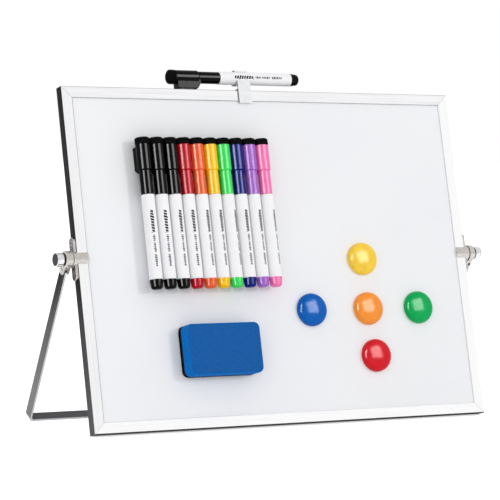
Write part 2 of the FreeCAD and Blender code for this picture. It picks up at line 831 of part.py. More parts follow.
def assembled():
    """All nodes in the part's own frame: on the floor, centred over the origin."""
    board_turn = FreeCAD.Rotation(X_AXIS, -lean_angle)
    stand_turn = FreeCAD.Rotation(X_AXIS, leg_angle - lean_angle)
    board_place = FreeCAD.Placement(Z_AXIS * board_rise, board_turn)
    pivot = board_place.multVec(Y_AXIS * pivot_y)
    stand_place = FreeCAD.Placement(pivot, stand_turn)
    nodes = {}
    for group, placement in ((board_nodes(), board_place), (stand_nodes(), stand_place)):
        for name, solids in group.items():
            nodes[name] = [placed(solid, placement) for solid in solids]
    whole = Part.makeCompound([solid for solids in nodes.values() for solid in solids])
    bounds = whole.optimalBoundingBox(False, False)
    shift = Vector(-bounds.Center.x, -bounds.Center.y, -bounds.ZMin)
    print("pivot", pivot + shift, "leg length", leg_length, "size", bounds)
    centring = FreeCAD.Placement(shift, FreeCAD.Rotation())
    return {name: [placed(s, centring) for s in solids] for name, solids in nodes.items()}


os.makedirs("parts", exist_ok=True)
for node, solids in assembled().items():
    shape = solids[0] if len(solids) == 1 else Part.makeCompound(solids)
    shape.exportStep("parts/" + node + ".step")
    print(node, len(shape.Solids), "solids", shape.isValid())
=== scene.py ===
"""Looks of a framed desk whiteboard easel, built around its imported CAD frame.

Lengths are in metres. The board and the stand are tilted, so each of their pieces is made in a
space that is square to it, read from the frame, and is then stored in the row frame.
"""

import json
import logging
import math
from dataclasses import dataclass, field, replace
from enum import Enum
from functools import cache, reduce
from typing import Any, Callable, Sequence

import bmesh
import bpy
from bpy.types import Collection, Material, Mesh, Node, NodeSocket, NodeTree, Object
from mathutils import Color, Matrix, Vector

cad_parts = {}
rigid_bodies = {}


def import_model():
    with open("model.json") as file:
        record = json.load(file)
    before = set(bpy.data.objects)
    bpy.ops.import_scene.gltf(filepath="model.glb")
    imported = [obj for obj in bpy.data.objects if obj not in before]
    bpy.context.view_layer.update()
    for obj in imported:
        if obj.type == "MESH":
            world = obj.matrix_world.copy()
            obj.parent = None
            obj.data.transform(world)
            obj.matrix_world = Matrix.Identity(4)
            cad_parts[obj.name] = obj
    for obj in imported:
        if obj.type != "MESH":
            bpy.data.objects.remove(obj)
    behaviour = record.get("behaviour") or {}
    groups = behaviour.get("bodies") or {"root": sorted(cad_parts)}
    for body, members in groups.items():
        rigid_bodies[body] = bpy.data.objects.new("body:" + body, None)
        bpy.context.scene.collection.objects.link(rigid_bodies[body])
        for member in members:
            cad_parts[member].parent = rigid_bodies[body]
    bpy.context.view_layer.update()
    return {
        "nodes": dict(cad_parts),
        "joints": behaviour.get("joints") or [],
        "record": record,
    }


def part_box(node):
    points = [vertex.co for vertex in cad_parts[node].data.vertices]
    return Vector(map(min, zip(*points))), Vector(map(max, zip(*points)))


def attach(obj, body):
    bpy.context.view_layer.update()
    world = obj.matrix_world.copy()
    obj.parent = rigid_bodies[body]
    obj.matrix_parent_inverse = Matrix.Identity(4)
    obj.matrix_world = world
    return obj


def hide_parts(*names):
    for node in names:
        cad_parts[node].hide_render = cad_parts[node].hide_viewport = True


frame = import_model()
LOG = logging.getLogger("easel")

Corner = tuple[float, float, float]
Point = tuple[float, float]
Place = Callable[[float, float], Vector]
Triple = tuple[float, float, float]
Range = tuple[float, float]
Colour = tuple[int, int, int]

SHARP_ANGLE = math.radians(32)
EDGE_STEPS = 4
ROUND_STEPS = 6
HALF_ROUND_STEPS = 18
FINE_SEGMENTS = 64
SMALL_SEGMENTS = 40
OVERRUN = 0.002
FIT_GAP = 0.00005
SEAT_GAP = 0.0001
SAME_PLACE = 1e-7
UPWARDS = 0.7
SQUARELY = 0.9
EDGE_ON = 0.95
SEAT_SHARE = 0.5
FIBRE_LEAN = Vector((0.9, 0.9, 3.1))
SHORTEST_DASH = 0.6
MIXED_COLOURS = (6, 7)
MIX_RESULT = 2
FRAME_FACE = 0.01
BOLT_RADIUS = 0.0025
SQUARE = ((-1, -1), (1, -1), (1, 1), (-1, 1))


class Side(Enum):
    """Left or right side of the board, seen from the front."""

    LEFT = -1
    RIGHT = 1

    @property
    def word(self) -> str:
        """Name of the side as used in node names."""
        return self.name.lower()


class Hue(Enum):
    """Moulding colours of the markers, in display values."""

    BLACK = (4, 4, 5)
    RED = (186, 4, 28)
    ORANGE = (236, 98, 46)
    YELLOW = (252, 197, 10)
    GREEN = (58, 226, 98)
    BLUE = (0, 24, 120)
    PURPLE = (168, 106, 202)
    PINK = (250, 124, 182)


class ButtonHue(Enum):
    """Moulding colours of the button magnets, in display values."""

    YELLOW = (255, 212, 70)
    BLUE = (0, 96, 186)
    ORANGE = (255, 154, 60)
    GREEN = (0, 174, 88)
    RED = (220, 26, 42)


def linear(display: Sequence[int]) -> tuple[float, float, float, float]:
    """Linear colour of a display colour.

    Args:
        display: Red, green and blue from 0 to 255.

    Returns:
        Red, green, blue and alpha from 0 to 1.
    """
    shares = Color([value / 255 for value in display])
    return (*shares.from_srgb_to_scene_linear(), 1.0)


@dataclass(frozen=True)
class Space:
    """A frame that a sub-assembly is square to; matrix takes its points to the row frame."""

    matrix: Matrix

    def points(self, *nodes: str) -> list[Vector]:
        """Points of CAD nodes in this space."""
        inverse = self.matrix.inverted()
        return [inverse @ v.co for n in nodes for v in frame["nodes"][n].data.vertices]

    def box(self, *nodes: str) -> tuple[Vector, Vector]:
        """Lowest and highest corner of CAD nodes in this space."""
        found = self.points(*nodes)
        low = Vector(min(p[i] for p in found) for i in range(3))
        high = Vector(max(p[i] for p in found) for i in range(3))
        return low, high

    def at(self, place: Vector, turn: Matrix | None = None) -> Matrix:
        """Matrix of a piece at a place in this space, turned first if a turn is given."""
        return self.matrix @ Matrix.Translation(place) @ (turn or Matrix.Identity(4))


def axes(x: Sequence[float], y: Sequence[float], z: Sequence[float]) -> Matrix:
    """Turn that takes the three unit axes to the given ones."""
    return Matrix((Vector(x), Vector(y), Vector(z))).transposed().to_4x4()


def mount(name: str) -> dict[str, Any]:
    """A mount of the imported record."""
    return next(m for m in frame["record"]["mounts"] if m["name"] == name)


def board_space() -> Space:
    """Space of the board: x along it, y into it from its front, z up it."""
    turn = axes((1, 0, 0), mount("back_rim")["axis"], -Vector(mount("bottom_edge")["axis"]))
    low, high = Space(turn).box("left_rail")
    return Space(turn @ Matrix.Translation((0, low.y, (low.z + high.z) / 2)))


def stand_space() -> Space:
    """Space of the stand: origin on the pivot, legs along -z."""
    joint = next(j for j in frame["joints"] if j["name"] == "stand_swing")
    pivot = Vector((0, joint["pos_m"][1], joint["pos_m"][2]))
    low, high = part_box("leg_rivets")
    up = pivot - (low + high) / 2
    up.x = 0
    up.normalize()
    return Space(Matrix.Translation(pivot) @ axes((1, 0, 0), up.cross(Vector((1, 0, 0))), up))


BOARD = board_space()
STAND = stand_space()


# Outlines and meshes


def rounded(corners: Sequence[Corner], steps: int = ROUND_STEPS) -> list[Point]:
    """Closed outline with its corners rounded to arcs.

    Args:
        corners: Each corner and its radius, in order.
        steps: Edges in each arc.

    Returns:
        The outline's points.
    """
    out: list[Point] = []
    for i, (a, b, radius) in enumerate(corners):
        here = Vector((a, b))
        if radius <= 0:
            out.append((a, b))
            continue
        back = (Vector(corners[i - 1][:2]) - here).normalized()
        ahead = (Vector(corners[(i + 1) % len(corners)][:2]) - here).normalized()
        half = back.angle(ahead) / 2
        reach = radius / math.tan(half)
        centre = here + (back + ahead).normalized() * (radius / math.sin(half))
        start = here + back * reach - centre
        turn = math.pi - 2 * half
        if back.x * ahead.y - back.y * ahead.x > 0:
            turn = -turn
        for step in range(steps + 1):
            angle = turn * step / steps
            c, s = math.cos(angle), math.sin(angle)
            out.append((centre.x + c * start.x - s * start.y, centre.y + s * start.x + c * start.y))
    return [p for i, p in enumerate(out) if i == 0 or math.dist(p, out[i - 1]) > SAME_PLACE]


def arc(radius: float, middle: Point, start: float, sweep: float, steps: int) -> list[Point]:
    """Points of an arc after its start, at even steps."""
    turns = [start + sweep * step / steps for step in range(1, steps + 1)]
    return [(middle[0] + radius * math.cos(t), middle[1] + radius * math.sin(t)) for t in turns]


def stadium(half_width: float, half_height: float) -> list[Point]:
    """Outline of a bar with half-round ends, standing on its end."""
    corners = [(a * half_width, b * half_height, half_width) for a, b in SQUARE]
    return rounded(corners, HALF_ROUND_STEPS)


class Builder:
    """A mesh in the making, from rings of points and turned profiles."""

    def __init__(self) -> None:
        """Starts with an empty mesh."""
        self.bm = bmesh.new()

    def ring(self, points: Sequence[Vector]) -> list[bmesh.types.BMVert]:
        """Adds a ring of vertices."""
        return [self.bm.verts.new(p) for p in points]

    def join(self, lower: list, upper: list) -> None:
        """Joins two rings by faces; a ring of one vertex is a pole."""
        count = max(len(lower), len(upper))
        for i in range(count):
            j = (i + 1) % count
            corners = [lower[i % len(lower)], lower[j % len(lower)]]
            corners += [upper[j % len(upper)], upper[i % len(upper)]]
            self.bm.faces.new(list(dict.fromkeys(corners)))

    def skin(self, rings: Sequence[Sequence[Vector]]) -> None:
        """Skins a shape over rings with as many points each, and closes both ends flat."""
        made = [self.ring(points) for points in rings]
        for lower, upper in zip(made, made[1:]):
            self.join(lower, upper)
        self.bm.faces.new(list(reversed(made[0])))
        self.bm.faces.new(made[-1])

    def turned(self, profile: Sequence[Point], segments: int, loop: bool = False) -> None:
        """Turns a profile of (radius, height) about z.

        Args:
            profile: The profile's points; it starts and ends on the axis, or is a loop.
            segments: Faces round the axis.
            loop: Whether the last point joins the first.
        """
        rings = []
        for radius, height in profile:
            if radius < SAME_PLACE:
                rings.append(self.ring([Vector((0, 0, height))]))
                continue
            angles = (2 * math.pi * i / segments for i in range(segments))
            rings.append(self.ring([polar(radius, a, height) for a in angles]))
        pairs = list(zip(rings, rings[1:]))
        if loop:
            pairs.append((rings[-1], rings[0]))
        for lower, upper in pairs:
            if len(lower) > 1 or len(upper) > 1:
                self.join(lower, upper)

    def mesh(self) -> Mesh:
        """Finished mesh, with every face pointing outwards."""
        bmesh.ops.recalc_face_normals(self.bm, faces=self.bm.faces)
        made = bpy.data.meshes.new("made")
        self.bm.to_mesh(made)
        self.bm.free()
        return made


def polar(radius: float, angle: float, height: float) -> Vector:
    """Point at a radius, an angle about z and a height."""
    return Vector((radius * math.cos(angle), radius * math.sin(angle), height))


def turned(corners: Sequence[Corner], segments: int, loop: bool = False) -> Mesh:
    """Turned mesh from rounded corners of (radius, height, corner radius)."""
    builder = Builder()
    builder.turned(rounded(corners), segments, loop)
    return builder.mesh()


def prism(outline: Sequence[Point], place: Place, push: Vector) -> Mesh:
    """Closed prism over an outline.

    Args:
        outline: The outline's points.
        place: Gives the point in space of an outline point.
        push: From the first end face to the other.

    Returns:
        The mesh.
    """
    start = [place(a, b) for a, b in outline]
    return skinned([start, [p + push for p in start]])


def skinned(rings: Sequence[Sequence[Vector]]) -> Mesh:
    """Closed mesh over rings of points."""
    builder = Builder()
    builder.skin(rings)
    return builder.mesh()


def rim_steps(radius: float) -> list[Point]:
    """Inset and drop of each ring of a rim that is rounded over, from its side to its face."""
    turns = [math.pi / 2 * step / ROUND_STEPS for step in range(ROUND_STEPS + 1)]
    return [(radius * (1 - math.cos(turn)), radius * (1 - math.sin(turn))) for turn in turns]


def brick(low: Sequence[float], high: Sequence[float]) -> Mesh:
    """Box between two corners."""
    outline = [(low[0], low[1]), (high[0], low[1]), (high[0], high[1]), (low[0], high[1])]
    return prism(outline, lambda a, b: Vector((a, b, low[2])), Vector((0, 0, high[2] - low[2])))


ALONG_X = axes((0, 1, 0), (0, 0, 1), (1, 0, 0))


def rod_x(radius: float, start: float, end: float, y: float = 0, z: float = 0) -> Mesh:
    """Plain rod along x, for unions and cuts."""
    made = turned([(0, start, 0), (radius, start, 0), (radius, end, 0), (0, end, 0)], FINE_SEGMENTS)
    made.transform(Matrix.Translation((0, y, z)) @ ALONG_X)
    return made


def loose_object(mesh: Mesh) -> Object:
    """Object in the scene that holds a mesh while it is being made."""
    made = bpy.data.objects.new("making", mesh)
    bpy.context.scene.collection.objects.link(made)
    return made


def evaluated(holder: Object) -> Mesh:
    """Plain mesh of an object with its modifiers applied; the object is removed."""
    bpy.context.view_layer.update()
    graph = bpy.context.evaluated_depsgraph_get()
    made = bpy.data.meshes.new_from_object(holder.evaluated_get(graph))
    bpy.data.objects.remove(holder)
    return made


class Cut(Enum):
    """How a second mesh changes the first."""

    UNION = "UNION"
    DIFFERENCE = "DIFFERENCE"


def carved(base: Mesh, *others: Mesh, how: Cut = Cut.DIFFERENCE) -> Mesh:
    """Mesh with others cut from it or joined to it.

    Args:
        base: The mesh that is changed.
        others: The meshes that cut it or join it.
        how: Whether they cut or join.

    Returns:
        The new mesh.
    """
    holder = loose_object(base)
    tools = [loose_object(mesh) for mesh in others]
    for tool in tools:
        step = holder.modifiers.new("carve", "BOOLEAN")
        step.operation = how.value
        step.solver = "EXACT"
        step.object = tool
    made = evaluated(holder)
    for tool in tools:
        bpy.data.objects.remove(tool)
    return made


def eased(mesh: Mesh, width: float, segments: int = 2, angle: float = 40, slot: int = -1) -> Mesh:
    """Mesh with its sharp edges eased by a bevel, in a material slot of its own where one is given."""
    holder = loose_object(mesh)
    step = holder.modifiers.new("ease", "BEVEL")
    step.width = width
    step.segments = segments
    step.limit_method = "ANGLE"
    step.angle_limit = math.radians(angle)
    step.material = slot
    return evaluated(holder)


def moved(mesh: Mesh, matrix: Matrix) -> Mesh:
    """Copy of a mesh moved by a matrix, facing outwards after a mirror too."""
    made = mesh.copy()
    made.transform(matrix)
    if matrix.determinant() < 0:
        made.flip_normals()
    return made


def mirrored(side: Side) -> Matrix:
    """Turns a piece made for the right into one for the side."""
    return Matrix.Diagonal((side.value, 1, 1, 1))


# Node trees


class Tree:
    """A node tree with short calls for adding and joining nodes."""

    def __init__(self, tree: NodeTree) -> None:
        """Works on a tree that exists."""
        self.tree = tree

    def feed(self, socket: NodeSocket, value: Any) -> None:
        """Links a socket to another, or sets its value."""
        if isinstance(value, NodeSocket):
            self.tree.links.new(value, socket)
        else:
            socket.default_value = value

    def add(self, kind: str, inputs: dict[Any, Any] | None = None, **settings: Any) -> Node:
        """Adds a node.

        Args:
            kind: The node's type.
            inputs: Values or sockets for its inputs, by name or number.
            settings: The node's own settings.

        Returns:
            The node.
        """
        node = self.tree.nodes.new(kind)
        for name, value in settings.items():
            setattr(node, name, value)
        self.fill(node, inputs or {})
        return node

    def fill(self, node: Node, inputs: dict[Any, Any]) -> None:
        """Feeds inputs of a node, by name or number."""
        for name, value in inputs.items():
            self.feed(node.inputs[name], value)

    def maths(self, operation: str, *values: Any) -> NodeSocket:
        """Result of a sum, product or other step on numbers."""
        return self.add("ShaderNodeMath", dict(enumerate(values)), operation=operation).outputs[0]

    def vector(self, operation: str, *values: Any) -> NodeSocket:
        """Result of a step on vectors."""
        return self.add("ShaderNodeVectorMath", dict(enumerate(values)), operation=operation).outputs[0]

    def graded(self, value: Any, low: Any, high: Any, start: Any = 0.0, end: Any = 1.0) -> NodeSocket:
        """Value mapped from a start and end to a low and high."""
        inputs = {"Value": value, "From Min": start, "From Max": end, "To Min": low, "To Max": high}
        return self.add("ShaderNodeMapRange", inputs).outputs["Result"]

    def blended(self, share: Any, first: Any, second: Any) -> NodeSocket:
        """Colour between two colours."""
        inputs = {"Factor": share, **dict(zip(MIXED_COLOURS, (first, second)))}
        return self.add("ShaderNodeMix", inputs, data_type="RGBA").outputs[MIX_RESULT]

    def opening(self, name: str, kind: str, value: Any = None) -> None:
        """Adds a named input to a group."""
        socket = self.tree.interface.new_socket(name, in_out="INPUT", socket_type=kind)
        if value is not None:
            socket.default_value = value

    def result(self, name: str, kind: str) -> None:
        """Adds a named output to a group."""
        self.tree.interface.new_socket(name, in_out="OUTPUT", socket_type=kind)

    def split(self, value: Any) -> Any:
        """Outputs x, y and z of a vector."""
        return self.add("ShaderNodeSeparateXYZ", {0: value}).outputs

    def joined(self, x: Any = 0.0, y: Any = 0.0, z: Any = 0.0) -> NodeSocket:
        """Vector of three parts."""
        return self.add("ShaderNodeCombineXYZ", {0: x, 1: y, 2: z}).outputs[0]

    def stored(self, name: str, kind: str) -> NodeSocket:
        """Value of a named attribute."""
        node = self.add("GeometryNodeInputNamedAttribute", {"Name": name}, data_type=kind)
        return node.outputs[0]

    def copies(self, points: Any, shape: Any, turn: Any) -> NodeSocket:
        """Copies of a shape on points, each with its turn."""
        inputs = {"Points": points, "Instance": shape, "Rotation": turn}
        return self.add("GeometryNodeInstanceOnPoints", inputs).outputs[0]

    def effect(self, group: NodeTree, inputs: dict[str, Any]) -> Any:
        """Outputs of a shared effect that is placed in the tree."""
        return self.add("ShaderNodeGroup", inputs, node_tree=group).outputs


FLOAT = "NodeSocketFloat"
VECTOR = "NodeSocketVector"


def effect_tree(
    name: str, sizes: dict[str, float], vectors: dict[str, Triple]
) -> tuple[Tree, Any, Any]:
    """Starts a shared effect that puts out a value and a normal.

    Args:
        name: The group's name.
        sizes: Its numbers and their plain values; one is the size of the grain.
        vectors: Its vectors after the coordinates, and their plain values.

    Returns:
        The tree, the outputs of its input node, and the scale that its size gives.
    """
    tree = Tree(bpy.data.node_groups.new(name, "ShaderNodeTree"))
    tree.opening("Vector", VECTOR)
    for opening, value in vectors.items():
        tree.opening(opening, VECTOR, value)
    for opening, value in sizes.items():
        tree.opening(opening, FLOAT, value)
    tree.result("Value", FLOAT)
    tree.result("Normal", VECTOR)
    given = tree.add("NodeGroupInput").outputs
    return tree, given, tree.maths("DIVIDE", 1.0, given["Size"])


def close_effect(tree: Tree, depth: Any, value: Any, height: Any) -> NodeTree:
    """Ends a shared effect with its value and the bump that a height makes."""
    bump = tree.add("ShaderNodeBump", {"Distance": depth, "Height": height})
    tree.add("NodeGroupOutput", {"Value": value, "Normal": bump.outputs["Normal"]})
    return tree.tree


@cache
def mottle_group() -> NodeTree:
    """Shared effect: a soft uneven value between a low and a high, with a fine bump."""
    sizes = {"Size": 0.01, "Low": 0.0, "High": 1.0, "Depth": 0.0001}
    tree, given, scale = effect_tree("mottle", sizes, {})
    noise = tree.add("ShaderNodeTexNoise", {"Vector": given["Vector"], "Scale": scale, "Detail": 4.0})
    value = tree.graded(noise.outputs["Fac"], given["Low"], given["High"], start=0.3, end=0.7)
    return close_effect(tree, given["Depth"], value, noise.outputs["Fac"])


@cache
def drawn_group() -> NodeTree:
    """Shared effect: fine lines along a piece, as drawing or brushing leaves them."""
    sizes = {"Size": 0.0004, "Low": 0.0, "High": 1.0, "Depth": 0.00002}
    tree, given, scale = effect_tree("drawn_lines", sizes, {"Stretch": (1.0, 1.0, 1.0)})
    along = tree.vector("MULTIPLY", given["Vector"], given["Stretch"])
    noise = tree.add("ShaderNodeTexNoise", {"Vector": along, "Scale": scale, "Detail": 3.0})
    value = tree.graded(noise.outputs["Fac"], given["Low"], given["High"], start=0.32, end=0.68)
    return close_effect(tree, given["Depth"], value, noise.outputs["Fac"])


@cache
def nap_group() -> NodeTree:
    """Shared effect: matted fibres or open cells, as a value and a bump."""
    tree, given, scale = effect_tree("nap", {"Size": 0.0006, "Depth": 0.0002}, {})
    inputs = {"Vector": given["Vector"], "Scale": scale}
    noise = tree.add("ShaderNodeTexNoise", {**inputs, "Detail": 5.0, "Distortion": 1.2})
    cells = tree.add("ShaderNodeTexVoronoi", inputs)
    height = tree.maths("MULTIPLY", noise.outputs["Fac"], cells.outputs["Distance"])
    return close_effect(tree, given["Depth"], height, height)


@cache
def dash_group() -> NodeTree:
    """Shared effect: mask of a run of slanted dashes of uneven height on a piece's UV map, in metres."""
    tree = Tree(bpy.data.node_groups.new("printed_dashes", "ShaderNodeTree"))
    tree.opening("UV", VECTOR)
    for name in ("Middle", "Half Length", "Half Width", "Pitch", "Slant", "Filled"):
        tree.opening(name, FLOAT, 0.01)
    tree.result("Mask", FLOAT)
    given = tree.add("NodeGroupInput").outputs
    split = tree.split(given["UV"])
    along = tree.maths("COMPARE", split[1], given["Middle"], given["Half Length"])
    leant = tree.maths("MULTIPLY_ADD", split[0], given["Slant"], split[1])
    beats = tree.maths("DIVIDE", leant, given["Pitch"])
    dashed = tree.maths("LESS_THAN", tree.maths("FRACT", beats), given["Filled"])
    number = {"W": tree.maths("FLOOR", beats)}
    chance = tree.add("ShaderNodeTexWhiteNoise", number, noise_dimensions="1D").outputs["Value"]
    height = tree.maths("MULTIPLY", given["Half Width"], tree.graded(chance, SHORTEST_DASH, 1.0))
    across = tree.maths("COMPARE", split[0], 0.0, height)
    whole = tree.maths("MULTIPLY", along, across)
    tree.add("NodeGroupOutput", {"Mask": tree.maths("MULTIPLY", whole, dashed)})
    return tree.tree


@dataclass(frozen=True)
class Finish:
    """A finish of the object; each kind builds its own material."""

    name: str
    colour: Colour

    def material(self) -> Material:
        """Material of the finish, built once."""
        return build_material(self)

    def dress(self, tree: Tree, shader: Node) -> None:
        """Feeds the shader; each kind of finish has its own way."""
        raise NotImplementedError


@cache
def build_material(finish: Finish) -> Material:
    """Material with a Principled shader that the finish feeds."""
    made = bpy.data.materials.new(finish.name)
    made.use_nodes = True
    made.node_tree.nodes.clear()
    tree = Tree(made.node_tree)
    shader = tree.add("ShaderNodeBsdfPrincipled", {"Base Color": linear(finish.colour)})
    finish.dress(tree, shader)
    tree.add("ShaderNodeOutputMaterial", {"Surface": shader.outputs[0]})
    made.diffuse_color = linear(finish.colour)
    return made


def board_coordinates(tree: Tree) -> NodeSocket:
    """Object coordinates turned square to the board."""
    return square_coordinates(tree, BOARD)


def stand_coordinates(tree: Tree) -> NodeSocket:
    """Object coordinates turned square to the stand."""
    return square_coordinates(tree, STAND)


def square_coordinates(tree: Tree, space: Space) -> NodeSocket:
    """Object coordinates turned square to a space."""
    place = space.matrix
    node = tree.add("ShaderNodeMapping", vector_type="TEXTURE")
    node.inputs["Location"].default_value = place.to_translation()
    node.inputs["Rotation"].default_value = place.to_euler()
    tree.feed(node.inputs["Vector"], plain_coordinates(tree))
    return node.outputs[0]


def plain_coordinates(tree: Tree) -> NodeSocket:
    """Object coordinates."""
    return tree.add("ShaderNodeTexCoord").outputs["Object"]


def grained(tree: Tree, group: NodeTree, size: float, depth: float) -> Any:
    """Outputs of a shared effect whose grain has a size and a depth."""
    return tree.effect(group, {"Vector": plain_coordinates(tree), "Size": size, "Depth": depth})


def lay_over(tree: Tree, shader: Node, share: Any, colour: Colour) -> None:
    """Lays a colour over the one that feeds the shader, by a share."""
    under = shader.inputs["Base Color"].links[0].from_socket
    tree.feed(shader.inputs["Base Color"], tree.blended(share, under, linear(colour)))


@dataclass(frozen=True)
class Enamel(Finish):
    """Smooth baked enamel on the board's sheets, with the haze that wiping leaves."""

    haze: Colour = (238, 239, 242)
    haze_size: float = 0.16
    wipe_lie: Triple = (0.12, 1.0, 1.0)
    wipe_size: float = 0.02
    wipe_depth: float = 0.000001
    gloss: Range = (0.3, 0.36)
    specular: float = 0.3

    def dress(self, tree: Tree, shader: Node) -> None:
        """Feeds the shader with haze and a faint unevenness."""
        where = board_coordinates(tree)
        haze = tree.effect(mottle_group(), {"Vector": where, "Size": self.haze_size, "Depth": 0.0})
        low, high = self.gloss
        wiped = {"Stretch": self.wipe_lie, "Size": self.wipe_size, "Depth": self.wipe_depth}
        strokes = tree.effect(drawn_group(), {"Vector": where, "Low": low, "High": high, **wiped})
        inputs = {
            "Base Color": tree.blended(haze["Value"], linear(self.colour), linear(self.haze)),
            "Roughness": strokes["Value"],
            "Specular IOR Level": self.specular,
            "Normal": strokes["Normal"],
        }
        tree.fill(shader, inputs)


@dataclass(frozen=True)
class DrawnMetal(Finish):
    """Metal with fine lines along the piece."""

    shade: Colour = (200, 200, 200)
    lie: Triple = (0.02, 1.0, 1.0)
    line_size: float = 0.0006
    gloss: Range = (0.28, 0.42)
    depth: float = 0.00001
    metal: float = 1.0
    specular: float = 0.5
    coordinates: Callable[[Tree], NodeSocket] = board_coordinates

    def dress(self, tree: Tree, shader: Node) -> None:
        """Feeds the shader with lines in colour, gloss and bump."""
        where = self.coordinates(tree)
        drawn = {"Vector": where, "Stretch": self.lie, "Size": self.line_size, "Depth": self.depth}
        lines = tree.effect(drawn_group(), drawn)
        tone = tree.blended(lines["Value"], linear(self.shade), linear(self.colour))
        low, high = self.gloss
        inputs = {
            "Base Color": self.toned(tree, where, tone),
            "Metallic": self.metal,
            "Roughness": tree.graded(lines["Value"], high, low),
            "Specular IOR Level": self.specular,
            "Normal": lines["Normal"],
        }
        tree.fill(shader, inputs)

    def toned(self, tree: Tree, where: NodeSocket, tone: NodeSocket) -> NodeSocket:
        """Tone of the metal; a kind with a graded tone changes it."""
        return tone


@dataclass(frozen=True)
class GradedMetal(DrawnMetal):
    """Dark drawn metal that pales downwards between two heights, as a painted reflection: dark above,
    paler towards the floor.
    """

    low: Colour = (140, 140, 142)
    most: float = 0.85
    start: float = 0.0
    end: float = -0.1

    def toned(self, tree: Tree, where: NodeSocket, tone: NodeSocket) -> NodeSocket:
        """Blends towards the low tone down the piece, as painted reflection."""
        share = tree.graded(tree.split(where)[2], 0.0, self.most, self.start, self.end)
        return tree.blended(share, tone, linear(self.low))


@dataclass(frozen=True)
class CastMetal(Finish):
    """Plated cast or pressed metal with a soft satin surface."""

    shade: Colour = (150, 145, 140)
    size: float = 0.002
    gloss: Range = (0.3, 0.42)
    depth: float = 0.00003

    def dress(self, tree: Tree, shader: Node) -> None:
        """Feeds the shader with a soft unevenness."""
        satin = grained(tree, mottle_group(), self.size, self.depth)
        low, high = self.gloss
        inputs = {
            "Base Color": tree.blended(satin["Value"], linear(self.shade), linear(self.colour)),
            "Metallic": 1.0,
            "Roughness": tree.graded(satin["Value"], high, low),
            "Normal": satin["Normal"],
        }
        tree.fill(shader, inputs)


@dataclass(frozen=True)
class Moulded(Finish):
    """Glossy moulded plastic with a slight unevenness in its skin."""

    gloss: Range = (0.14, 0.22)
    size: float = 0.004
    depth: float = 0.00001
    tone_drop: float = 0.88
    specular: float = 0.1

    def dress(self, tree: Tree, shader: Node) -> None:
        """Feeds the shader with uneven gloss, tone and skin."""
        skin = grained(tree, mottle_group(), self.size, self.depth)
        full = linear(self.colour)
        dark = (*(channel * self.tone_drop for channel in full[:3]), 1.0)
        inputs = {
            "Base Color": tree.blended(skin["Value"], dark, full),
            "Roughness": tree.graded(skin["Value"], *self.gloss),
            "Specular IOR Level": self.specular,
            "Normal": skin["Normal"],
        }
        tree.fill(shader, inputs)


@dataclass(frozen=True)
class Dashes:
    """A printed run of dashes along a barrel; lengths in metres, filled as a share of the pitch."""

    middle: float
    half_length: float
    half_width: float
    pitch: float
    slant: float
    filled: float

    def inputs(self) -> dict[str, float]:
        """Values for the shared effect."""
        return {
            "Middle": self.middle,
            "Half Length": self.half_length,
            "Half Width": self.half_width,
            "Pitch": self.pitch,
            "Slant": self.slant,
            "Filled": self.filled,
        }


@dataclass(frozen=True)
class Printed(Moulded):
    """White barrel plastic with printed runs of dashes in line."""

    ink: Colour = (8, 8, 10)
    runs: tuple[Dashes, ...] = ()

    def dress(self, tree: Tree, shader: Node) -> None:
        """Lays the print over the moulded plastic."""
        super().dress(tree, shader)
        uv = tree.add("ShaderNodeUVMap", uv_map=BARREL_UV).outputs[0]
        masks = [tree.effect(dash_group(), {"UV": uv, **run.inputs()})["Mask"] for run in self.runs]
        mask = reduce(lambda first, second: tree.maths("MAXIMUM", first, second), masks, 0.0)
        lay_over(tree, shader, mask, self.ink)


@dataclass(frozen=True)
class Napped(Finish):
    """Felt or foam: matt, with fibres or cells in its surface."""

    pale: Colour = (60, 60, 60)
    size: float = 0.0006
    depth: float = 0.0002
    rough: float = 0.92
    specular: float = 0.3

    def dress(self, tree: Tree, shader: Node) -> None:
        """Feeds the shader with fibres or cells."""
        nap = grained(tree, nap_group(), self.size, self.depth)
        share = tree.graded(nap["Value"], 0.0, 1.0, start=0.05, end=0.45)
        inputs = {
            "Base Color": tree.blended(share, linear(self.colour), linear(self.pale)),
            "Roughness": self.rough,
            "Specular IOR Level": self.specular,
            "Normal": nap["Normal"],
        }
        tree.fill(shader, inputs)


@dataclass(frozen=True)
class StainedFoam(Napped):
    """Foam that ink has darkened near the felt, between two depths in the board's space."""

    ink: Colour = (6, 8, 14)
    start: float = 0.0
    end: float = 0.001

    def dress(self, tree: Tree, shader: Node) -> None:
        """Lays the stain over the foam."""
        super().dress(tree, shader)
        depth = tree.split(board_coordinates(tree))[1]
        lay_over(tree, shader, tree.graded(depth, 0.0, 1.0, self.start, self.end), self.ink)


BARREL_UV = "barrel"
FOAM_BACK = BOARD.box("eraser_foam")[1].y

SHEET = Enamel("sheet_enamel", (242, 243, 245))
UPRIGHT = (1.0, 1.0, 0.02)
FACE_METAL = DrawnMetal(
    "frame_face", (249, 249, 250), shade=(236, 236, 238), line_size=0.0014, gloss=(0.22, 0.32)
)
LEFT_FACE = replace(FACE_METAL, name="frame_face_left", lie=UPRIGHT)
# The right and bottom rails' faces are a lighter copy of the face metal, as painted light.
LIT_FACE = replace(
    FACE_METAL, name="frame_face_bright", colour=(253, 253, 253), shade=(247, 247, 248)
)
RIGHT_FACE = replace(LIT_FACE, name="frame_face_right", lie=UPRIGHT)
# The backs of the rails are a darker copy of the face metal, as painted shade.
FRAME_BACK_SHADE = replace(FACE_METAL, name="frame_back", colour=(222, 223, 225), shade=(206, 207, 209))
SIDE_BACK_SHADE = replace(FRAME_BACK_SHADE, name="frame_back_side", lie=UPRIGHT)
